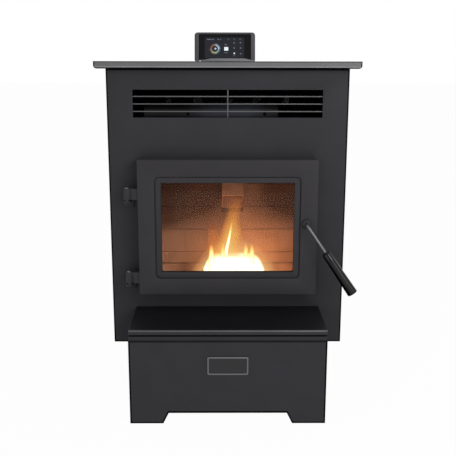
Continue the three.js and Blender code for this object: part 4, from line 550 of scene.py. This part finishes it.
def pedestal():
    top = ARCH_TOP + ARCH_OUTLINE
    slope = Vector((ARCH_TOP, 0, ARCH_SLANT)).normalized()
    slant = ARCH_HALF + OUTLINE / slope.x
    side = PEDESTAL_HALF - OUTLINE
    base = rounded(
        "pedestal", 3.0,
        wide=lambda a, b: min(abs(a.x), abs(b.x)) > 239 and abs(a.z - b.z) > 60, share=0.4,
        planes=[
            at_side(side), at_side(-side), at_height(OUTLINE), at_height(top),
            ((slant, 0, 0), slope), ((-slant, 0, 0), (-slope.x, 0, slope.z)),
            at_height(UNDER_LIP_FOOT),
        ],
    )

    def arch_rim(c):
        return c.z < top and (abs(c.x) - slant) * slope.x + c.z * slope.z < 0

    # painted shade: dark strips along the sides, foot and arch, and a dark strip under the shelf's lip
    repaint(
        base,
        (BLACK_AND_EDGE_SHADE, lambda c, n: n.y < 0.3 and c.z < 213 and abs(n.z) < 0.9 and
         (abs(c.x) > side or c.z < OUTLINE or arch_rim(c))),
        (UNDER_LIP_SHADE, lambda c, n: n.y < -0.5 and c.z > UNDER_LIP_FOOT),
    )


def hearth_shelf():
    shelf = rounded("hearth_shelf", 0.8, mat=SHELF,
                    planes=[at_height(LIP_SHADOW), at_height(SKIRT_FOOT_STRIP)])
    # the shelf's tones stand for light and shade: painted shade on its top, a painted highlight on the lip's
    # upper edge, a lighter lip face, and strips of painted shade under the lip and at the skirt's foot
    repaint(
        shelf,
        (SHELF_TOP_SHADE, lambda c, n: n.z > 0.9 and c.z > SHELF_TOP_FROM and c.y > SHELF_TOP_FRONT),
        (LIP_HIGHLIGHT, lambda c, n: c.z > LIP_HIGHLIGHT_FROM and c.y < SHELF_FACE and n.z > 0.25 and
         n.y < -0.15),
        (LIT_SHELF_LIP, lambda c, n: c.z > LIP_FROM and c.y < SHELF_FACE and n.z > -0.25),
        (BLACK_AND_EDGE_SHADE, lambda c, n: c.y < SHELF_FACE and c.z > LIP_SHADOW),
        (UNDER_LIP_SHADE, lambda c, n: c.y < SHELF_FACE and c.z < SKIRT_FOOT_STRIP),
    )


def top_plate():
    plate = rounded("top_plate", 0.8, planes=[
        at_height(PLATE_LOW_STRIP), at_height(PLATE_HIGH_STRIP), at_side(PLATE_END),
        at_side(-PLATE_END),
    ])
    # painted shade at the plate's ends and underside and on the rim's upper strip, and a painted highlight
    # along its lower edge
    repaint(
        plate,
        (BLACK_AND_EDGE_SHADE, lambda c, n: c.z < PLATE_HIGH_STRIP and
         (abs(n.x) > 0.45 or n.z < -0.7 or abs(c.x) > PLATE_END)),
        (PLATE_HIGHLIGHT, lambda c, n: n.y < -0.2 and c.z < PLATE_LOW_STRIP),
        (PLATE_TOP_SHADE, lambda c, n: n.y < -0.2 and c.z > PLATE_HIGH_STRIP),
    )


def door_frame():
    """The door's casting, with painted shade in the groove round its window."""
    door = rounded("door_frame", 1.4, segments=3)

    def in_groove(c):
        outer = abs(c.x) < GROOVE_HALF and GROOVE_FOOT < c.z < GROOVE_TOP
        inner = abs(c.x) <= GROOVE_HALF - GROOVE_WIDTH and (
            GROOVE_FOOT + GROOVE_WIDTH <= c.z <= GROOVE_TOP - GROOVE_WIDTH)
        return GROOVE_FRONT < c.y < GROOVE_BACK and outer and not inner

    repaint(door, (GROOVE_SHADE, lambda c, n: in_groove(c) and (n.y < -0.9 or abs(n.x) + abs(n.z) > 0.9)))


def display_case():
    """The display's housing: painted shade round its outer rim, on two rubber feet."""
    case = rounded("display_housing", 3.2, segments=3, wide=lambda a, b: max(a.z, b.z) > 880, share=0.15)
    # painted shade on the housing's eased sides and top
    repaint(case, (BLACK_AND_EDGE_SHADE, lambda c, n: abs(n.x) > 0.25 or n.z > 0.45))
    for name, x in DISPLAY_FEET:
        rings = [
            [
                (x - FOOT_HALF * wide, FOOT_FRONT, z), (x + FOOT_HALF * wide, FOOT_FRONT, z),
                (x + FOOT_HALF * wide, FOOT_BACK, z), (x - FOOT_HALF * wide, FOOT_BACK, z),
            ]
            for z, wide in FOOT_LEVELS
        ]
        foot = link(name, tube_mesh(name, rings), BLACK_AND_EDGE_SHADE, "stove")


def fire_chamber():
    box = rounded("firebox", 0)
    repaint(
        box,
        (ASHED, lambda c, n: in_firebox(c + n * 3)),
        (SOOT_BLACK, lambda c, n: True),
    )
    rounded("ash_pan", 0.4, mat=ASHED)
    rounded("feed_chute", 0.4, mat=CHUTE)
    rounded("heat_exchanger", 0, mat=SOOT_BLACK)


def dress_cad():
    front_panel()
    pedestal()
    hearth_shelf()
    top_plate()
    door_frame()
    stand = rounded("burn_pot_stand", 0.5)
    repaint(stand, (ASHED, lambda c, n: True))
    fire_chamber()
    display_case()
    for node, width in EASED.items():
        rounded(node, width)
    for node in CURVED:
        rounded(node, 0)
    handled = set(EASED) | set(CURVED) | {
        "latch_rod", "latch_grip", "front_panel", "top_plate", "pedestal", "hearth_shelf", "door_frame",
        "burn_pot_stand", "firebox", "ash_pan", "feed_chute", "heat_exchanger", "display_housing",
    }
    for node, piece in NODES.items():
        if node in handled:
            continue
        piece.data.materials.clear()
        piece.data.materials.append(finish_of(node))


# ---------------------------------------------------------------- latch handle


def latch_handle():
    """Bare rod, and a grip that is turned about the handle's own line."""
    corner = Vector(LATCH)
    direction = Vector((
        math.cos(HANDLE_FALL) * math.cos(HANDLE_LEAN),
        -math.sin(HANDLE_LEAN),
        -math.sin(HANDLE_FALL) * math.cos(HANDLE_LEAN),
    ))
    rounded("latch_rod", 0, mat=LATCH_STEEL, smooth=40)
    start, end = GRIP_START_RADIUS, GRIP_END_RADIUS
    length = GRIP_LENGTH
    neck = 0.62 * start
    profile = [
        (0, neck - 1.2), (0.5, neck - 0.3), (1.2, neck), (2.4, neck), (3.0, start - 1.6),
        (3.4, start - 0.7), (4.5, start),
    ]
    profile += [(4.5 + (length - 6.5) * t, start + (end - start) * t) for t in (0.25, 0.5, 0.75, 1.0)]
    profile += [(length - 1.0, end - 0.1), (length - 0.4, end - 0.4), (length, end - 1.0),
                (length, end - 3.6)]
    foot = corner + direction * GRIP_START
    mesh = tube_mesh("latch_grip_skin", lathe_rings(foot, direction, profile, 48))
    grip = link("latch_grip_skin", mesh, GRIP, "latch", smooth=40)
    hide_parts("latch_grip")


# ---------------------------------------------------------------- display


def display_place():
    turn = Matrix.Rotation(-DISPLAY_TILT, 4, "X")
    return Matrix.Translation(at(*DISPLAY_FOOT)) @ turn


def flat_plate(name, outline, mat, proud=0.35, thickness=0.5):
    """Thin plate on the screen from an outline in the screen's own x and z."""
    back = SCREEN_FRONT + thickness - proud

    def build(bm):
        front = [bm.verts.new((x, SCREEN_FRONT - proud, z)) for x, z in outline]
        rear = [bm.verts.new((x, back, z)) for x, z in outline]
        bm.faces.new(front)
        bm.faces.new(rear[::-1])
        for i, vert in enumerate(front):
            j = (i + 1) % len(front)
            bm.faces.new((vert, front[j], rear[j], rear[i]))
    piece = link(name, mesh_of(name, build, display_place()), mat, "stove")


def rect(x, z, width, height):
    return [
        (x - width / 2, z - height / 2), (x + width / 2, z - height / 2),
        (x + width / 2, z + height / 2), (x - width / 2, z + height / 2),
    ]


def disc(x, z, radius, sides=32):
    return [
        (x + radius * math.cos(2 * math.pi * i / sides), z + radius * math.sin(2 * math.pi * i / sides))
        for i in range(sides)
    ]


def arc(x, z, inner, outer, start, end, steps=6):
    angles = [math.radians(start + (end - start) * i / steps) for i in range(steps + 1)]
    rim = [(x + outer * math.cos(a), z + outer * math.sin(a)) for a in angles]
    return rim + [(x + inner * math.cos(a), z + inner * math.sin(a)) for a in reversed(angles)]


DIAL = (-26.0, 25.0)
DIAL_COLORS = [
    ((0.50, 0.66, 0.85), 40, 85),
    ((0.36, 0.22, 0.17), 85, 130),
    ((0.32, 0.17, 0.09), 130, 175),
    ((0.42, 0.28, 0.17), 175, 220),
    ((0.55, 0.52, 0.32), 220, 262),
    ((0.50, 0.60, 0.40), 262, 305),
    ((0.30, 0.50, 0.62), 305, 350),
    ((0.62, 0.80, 0.95), 350, 400),
]


def display():
    grey_ui = glow("display_grey", (0.30, 0.33, 0.40), 0.5)
    white_ui = glow("display_white", (0.85, 0.92, 1.0), 1.0)
    lit = glow("display_lit_panel", (0.027, 0.028, 0.034), 1.0)
    flat_plate("display_panel", rect(-1.0, 28.0, 103, 53), lit, proud=0.1, thickness=0.3)
    for i, (color, start, end) in enumerate(DIAL_COLORS):
        hue = glow(f"dial_color_{i}", color, 0.75)
        flat_plate(f"dial_arc_{i}", arc(*DIAL, 8.2, 11.6, start + 2, end - 2), hue)
    for i, (color, start, end) in enumerate(DIAL_COLORS):
        dim = glow(f"dial_rim_{i}", tuple(0.30 * c for c in color), 0.75)
        flat_plate(f"dial_rim_arc_{i}", arc(*DIAL, 12.2, 14.4, start + 2, end - 2), dim)
    flat_plate("dial_face", disc(*DIAL, 7.4), glow("dial_face_glow", (0.03, 0.035, 0.05), 1.0))
    flat_plate("dial_hub", disc(DIAL[0] + 1.5, DIAL[1] + 0.5, 2.6, 20), white_ui)
    flat_plate("menu_tile", rect(3.6, 25.0, 10.5, 9.2), white_ui)
    marks = [
        (-41.0, 49.5, 11.0, 2.4), (-31.0, 49.5, 5.0, 2.4), (-17.0, 49.5, 4.0, 2.4),
        (-11.0, 49.5, 2.0, 2.4), (9.3, 50.1, 3.0, 1.6), (24.2, 50.4, 3.0, 1.6), (40.0, 50.4, 4.0, 1.6),
        (2.5, 36.0, 6.0, 2.2), (3.0, 15.0, 8.0, 1.6),
        (24.2, 40.5, 3.4, 3.4), (40.6, 41.0, 3.4, 3.4), (24.4, 27.2, 3.4, 3.4),
        (41.1, 27.2, 3.4, 3.4), (41.4, 12.5, 3.4, 3.4), (24.8, 7.0, 5.0, 1.2),
    ]
    for i, mark in enumerate(marks):
        flat_plate(f"menu_mark_{i}", rect(*mark), grey_ui)
    flat_plate("menu_lamp", rect(24.7, 13.2, 3.2, 3.6), white_ui)


# ---------------------------------------------------------------- fire


def tongue(name, foot, tip, width, mat, seed, depth, power, sides=20, rows=24):
    """Closed shell of a flame between two points, widest low down and drawn to a tip."""
    source = random.Random(seed)
    phase = [source.uniform(0, 2 * math.pi) for _ in range(2)]
    start, end = Vector(foot), Vector(tip)
    rings = []
    for row in range(rows + 1):
        t = row / rows
        radius = max(width / 2 * (1 - t) ** (1 / power), 0.15)
        rings.append([
            start.lerp(end, t) + Vector((
                radius * math.cos(a) * (1 + 0.05 * math.sin(3 * a + 9 * t + phase[0])),
                radius * depth * math.sin(a),
                0.05 * radius * math.sin(2 * a + phase[1]),
            ))
            for a in (2 * math.pi * i / sides for i in range(sides))
        ])
    piece = link(name, tube_mesh(name, rings), mat, "burn_pot", smooth=60)
    piece.visible_shadow = False


def pellets():
    """Heap of burning pellets in the pot."""
    source = random.Random(11)

    def build(bm):
        for _ in range(170):
            x = source.uniform(-HEAP_REACH_X, HEAP_REACH_X)
            y = source.uniform(-HEAP_REACH_Y, HEAP_REACH_Y)
            heap = 1 - (x / 62) ** 2 - (y / 44) ** 2
            z = HEAP_FOOT + HEAP_RISE * heap * source.uniform(0.55, 1.0)
            turn = Matrix.Rotation(source.uniform(0, math.pi), 4, "Z")
            turn = turn @ Matrix.Rotation(source.uniform(-0.5, 0.5) + math.pi / 2, 4, "X")
            place = Matrix.Translation((FEED_X + x, POT_MIDDLE + y, z)) @ turn
            bmesh.ops.create_cone(
                bm, cap_ends=True, segments=8, radius1=3, radius2=3,
                depth=source.uniform(11, 19), matrix=place,
            )
    ember = glow("ember_glow", (1.0, 0.50, 0.14), 2.2)
    heap = link("pellet_fire", mesh_of("pellet_fire", build, Matrix.Translation(at(0, 0, 0))), ember,
                "burn_pot", smooth=40)
    heap.visible_shadow = False


# heat, colour and cover at each stop
HOT = [(0.0, (1.0, 0.42, 0.08), 0.0), (0.14, (1.0, 0.60, 0.14), 0.35), (0.28, (1.0, 0.86, 0.34), 0.85),
       (0.42, (1.0, 0.97, 0.72), 1.0)]
BED = [(0.0, (1.0, 0.62, 0.20), 0.0), (0.04, (1.0, 0.80, 0.36), 0.3), (0.08, (1.0, 0.94, 0.60), 0.8),
       (0.13, (1.0, 0.98, 0.86), 1.0)]
GLOW = [(0.0, (1.0, 0.46, 0.15), 0.0), (0.2, (1.0, 0.56, 0.20), 0.18), (0.45, (1.0, 0.72, 0.30), 0.50),
        (0.8, (1.0, 0.86, 0.46), 0.8)]
AMBER = [(0.0, (1.0, 0.30, 0.05), 0.0), (0.25, (1.0, 0.40, 0.08), 0.22), (0.55, (1.0, 0.55, 0.13), 0.50),
         (1.0, (1.0, 0.75, 0.26), 0.75)]
EMBER = [(0.0, (1.0, 0.24, 0.05), 0.0), (0.4, (1.0, 0.30, 0.07), 0.20), (1.0, (1.0, 0.44, 0.13), 0.45)]
HALO = [(0.0, (1.0, 0.40, 0.18), 0.0), (0.35, (1.0, 0.42, 0.20), 0.14), (0.7, (1.0, 0.50, 0.25), 0.40),
        (1.0, (1.0, 0.60, 0.30), 0.7)]
# name, foot x and z, tip x and z, width, colours, strength, depth, y, flicker, squareness
FLAMES = [
    ("flame_bed", 18, 276, 18, 360, 186, BED, 1.6, 0.25, 102, 0.03, 6),
    ("flame_glow", 20, 270, 20, 408, 284, GLOW, 1.1, 0.08, 118, 0.08, 2),
    ("flame_spike_0", -42, 286, -44, 390, 30, HOT, 1.5, 0.5, 92, 0.25, 2),
    ("flame_spike_1", -30, 286, -31, 368, 24, HOT, 1.5, 0.5, 96, 0.25, 2),
    ("flame_spike_2", -13, 286, -12, 390, 28, HOT, 1.5, 0.5, 92, 0.25, 2),
    ("flame_spike_3", 50, 286, 49, 392, 26, HOT, 1.5, 0.5, 94, 0.25, 2),
    ("flame_spike_4", 64, 286, 65, 388, 30, HOT, 1.5, 0.5, 90, 0.25, 2),
    ("flame_streak", -8, 338, 14, 452, 13, HOT, 1.5, 0.6, 104, 0.2, 2),
    ("flame_tall", -4, 318, 26, 520, 84, AMBER, 0.95, 0.4, 118, 0.22, 2),
    ("flame_left", -21, 316, -46, 446, 66, EMBER, 0.9, 0.3, 132, 0.3, 2),
    ("flame_halo", 26, 262, 26, 452, 330, HALO, 0.85, 0.1, 168, 0.2, 2),
]
FIRE_LAMPS = [
    ("fire_right", (80, 128, 336), 0.62, 30),
    ("fire_left", (-55, 128, 328), 0.14, 30),
    ("fire_high", (14, 100, 480), 0.14, 30),
]


def fire():
    pellets()
    for seed, flame in enumerate(FLAMES):
        name, foot_x, foot_z, tip_x, tip_z, width, stops, strength, depth, y, flicker, power = flame
        foot, tip = (foot_x, y, foot_z), (tip_x, y, tip_z)
        mat = flame_material(name, foot, tip, width, stops, strength, flicker, power)
        tongue(name, foot, tip, width * 1.1, mat, seed, depth, power)
    for name, place, energy, size in FIRE_LAMPS:
        lamp = bpy.data.lights.new(name, "POINT")
        lamp.color = (1.0, 0.50, 0.20)
        lamp.energy = energy
        lamp.shadow_soft_size = size / 1000
        flare = bpy.data.objects.new(name, lamp)
        flare.location = at(*place)
        flare.visible_camera = False
        flare.visible_glossy = False
        flare.visible_transmission = False
        bpy.context.scene.collection.objects.link(flare)


# ---------------------------------------------------------------- studio


UP = Vector((0, 0, 1))
GRIP_AXIS = Vector((0.561, -0.113, -0.820))
# name, place, aim, size, energy and the direction of its second size
LAMPS = [
    ("key", (1.5, -2.5, 1.5), (0, -0.2, 0.5), (1.6, 1.6), 18, UP),
    ("fill", (-1.5, -2.4, 0.5), (0, -0.2, 0.4), (1.6, 0.9), 6.2, UP),
    ("upper_right", (0.85, -1.15, 1.25), (0.22, 0, 0.76), (0.5, 0.5), 5.0, UP),
    ("low", (0.35, -1.7, 0.16), (0.05, -0.2, 0.24), (1.2, 0.25), 1.1, UP),
    ("top", (0.0, -0.4, 2.6), (0, 0, 0.8), (1.4, 1.4), 3, Vector((0, 1, 0))),
    ("strip", (1.29, -1.13, 1.235), (0.277, -0.26, 0.355), (0.10, 1.3), 2.2, GRIP_AXIS),
    ("strip_left", (-0.75, -1.35, 0.05), (0.277, -0.26, 0.355), (0.05, 1.2), 0.5, GRIP_AXIS),
]


def backdrop_level(tree):
    """1 where the camera, a reflection or glass looks at the backdrop, and 0 where it gives light."""
    path = tree.nodes.new("ShaderNodeLightPath")
    level = path.outputs["Is Camera Ray"]
    for name in ("Is Glossy Ray", "Is Transmission Ray"):
        most = tree.nodes.new("ShaderNodeMath")
        most.operation = "MAXIMUM"
        tree.links.new(level, most.inputs[0])
        tree.links.new(path.outputs[name], most.inputs[1])
        level = most.outputs["Value"]
    return level


def studio():
    """White backdrop and floor, and the lamps."""
    world = bpy.data.worlds.new("studio")
    bpy.context.scene.world = world
    world.use_nodes = True
    tree = world.node_tree
    background = tree.nodes["Background"]
    color = tree.nodes.new("ShaderNodeMix")
    color.data_type = "RGBA"
    color.inputs["A"].default_value = (0.50, 0.50, 0.51, 1)
    color.inputs["B"].default_value = (1, 1, 1, 1)
    tree.links.new(backdrop_level(tree), color.inputs["Factor"])
    tree.links.new(color.outputs["Result"], background.inputs["Color"])

    mesh = bpy.data.meshes.new("studio_floor")
    reach = 30.0
    mesh.from_pydata(
        [(-reach, -reach, 0), (reach, -reach, 0), (reach, reach, 0), (-reach, reach, 0)], [], [(0, 1, 2, 3)],
    )
    floor_mat, bsdf = new_material("studio_floor")
    bsdf.inputs["Base Color"].default_value = (0.82, 0.82, 0.82, 1)
    bsdf.inputs["Roughness"].default_value = 0.9
    bsdf.inputs["Specular IOR Level"].default_value = 0.0
    tree = floor_mat.node_tree
    white = tree.nodes.new("ShaderNodeEmission")
    blend = tree.nodes.new("ShaderNodeMixShader")
    share = tree.nodes.new("ShaderNodeMath")
    share.operation = "MULTIPLY"
    share.inputs[1].default_value = 0.97
    tree.links.new(backdrop_level(tree), share.inputs[0])
    tree.links.new(share.outputs["Value"], blend.inputs["Fac"])
    tree.links.new(bsdf.outputs["BSDF"], blend.inputs[1])
    tree.links.new(white.outputs["Emission"], blend.inputs[2])
    tree.links.new(blend.outputs["Shader"], tree.nodes["Material Output"].inputs["Surface"])
    floor = link("studio_floor", mesh, floor_mat, None)

    for name, place, aim, size, energy, along in LAMPS:
        lamp = bpy.data.lights.new(name, "AREA")
        lamp.shape = "RECTANGLE"
        lamp.size, lamp.size_y = size
        lamp.energy = energy
        source = bpy.data.objects.new(name, lamp)
        back = (Vector(place) - Vector(aim)).normalized()
        side = along.cross(back).normalized()
        turn = Matrix((side, back.cross(side), back)).transposed().to_4x4()
        source.matrix_world = Matrix.Translation(place) @ turn
        bpy.context.scene.collection.objects.link(source)


def camera():
    """The photo's own viewpoint."""
    forward = Vector((
        math.sin(YAW) * math.cos(PITCH), math.cos(YAW) * math.cos(PITCH), -math.sin(PITCH),
    ))
    right = Vector((math.cos(YAW), -math.sin(YAW), 0))
    up = right.cross(forward)
    level = math.cos(ROLL) * right + math.sin(ROLL) * up
    upright = -math.sin(ROLL) * right + math.cos(ROLL) * up
    matrix = Matrix((level, upright, -forward)).transposed().to_4x4()
    matrix.translation = at(*CAMERA_AT)
    data = bpy.data.cameras.new("camera")
    data.sensor_width = SENSOR
    data.lens = LENS
    data.clip_start = 0.05
    data.clip_end = 100
    view = bpy.data.objects.new("camera", data)
    view.matrix_world = matrix
    bpy.context.scene.collection.objects.link(view)
    bpy.context.scene.camera = view


camera()
studio()
dress_cad()
latch_handle()
display()
fire()

bpy.context.scene.view_settings.view_transform = "Standard"
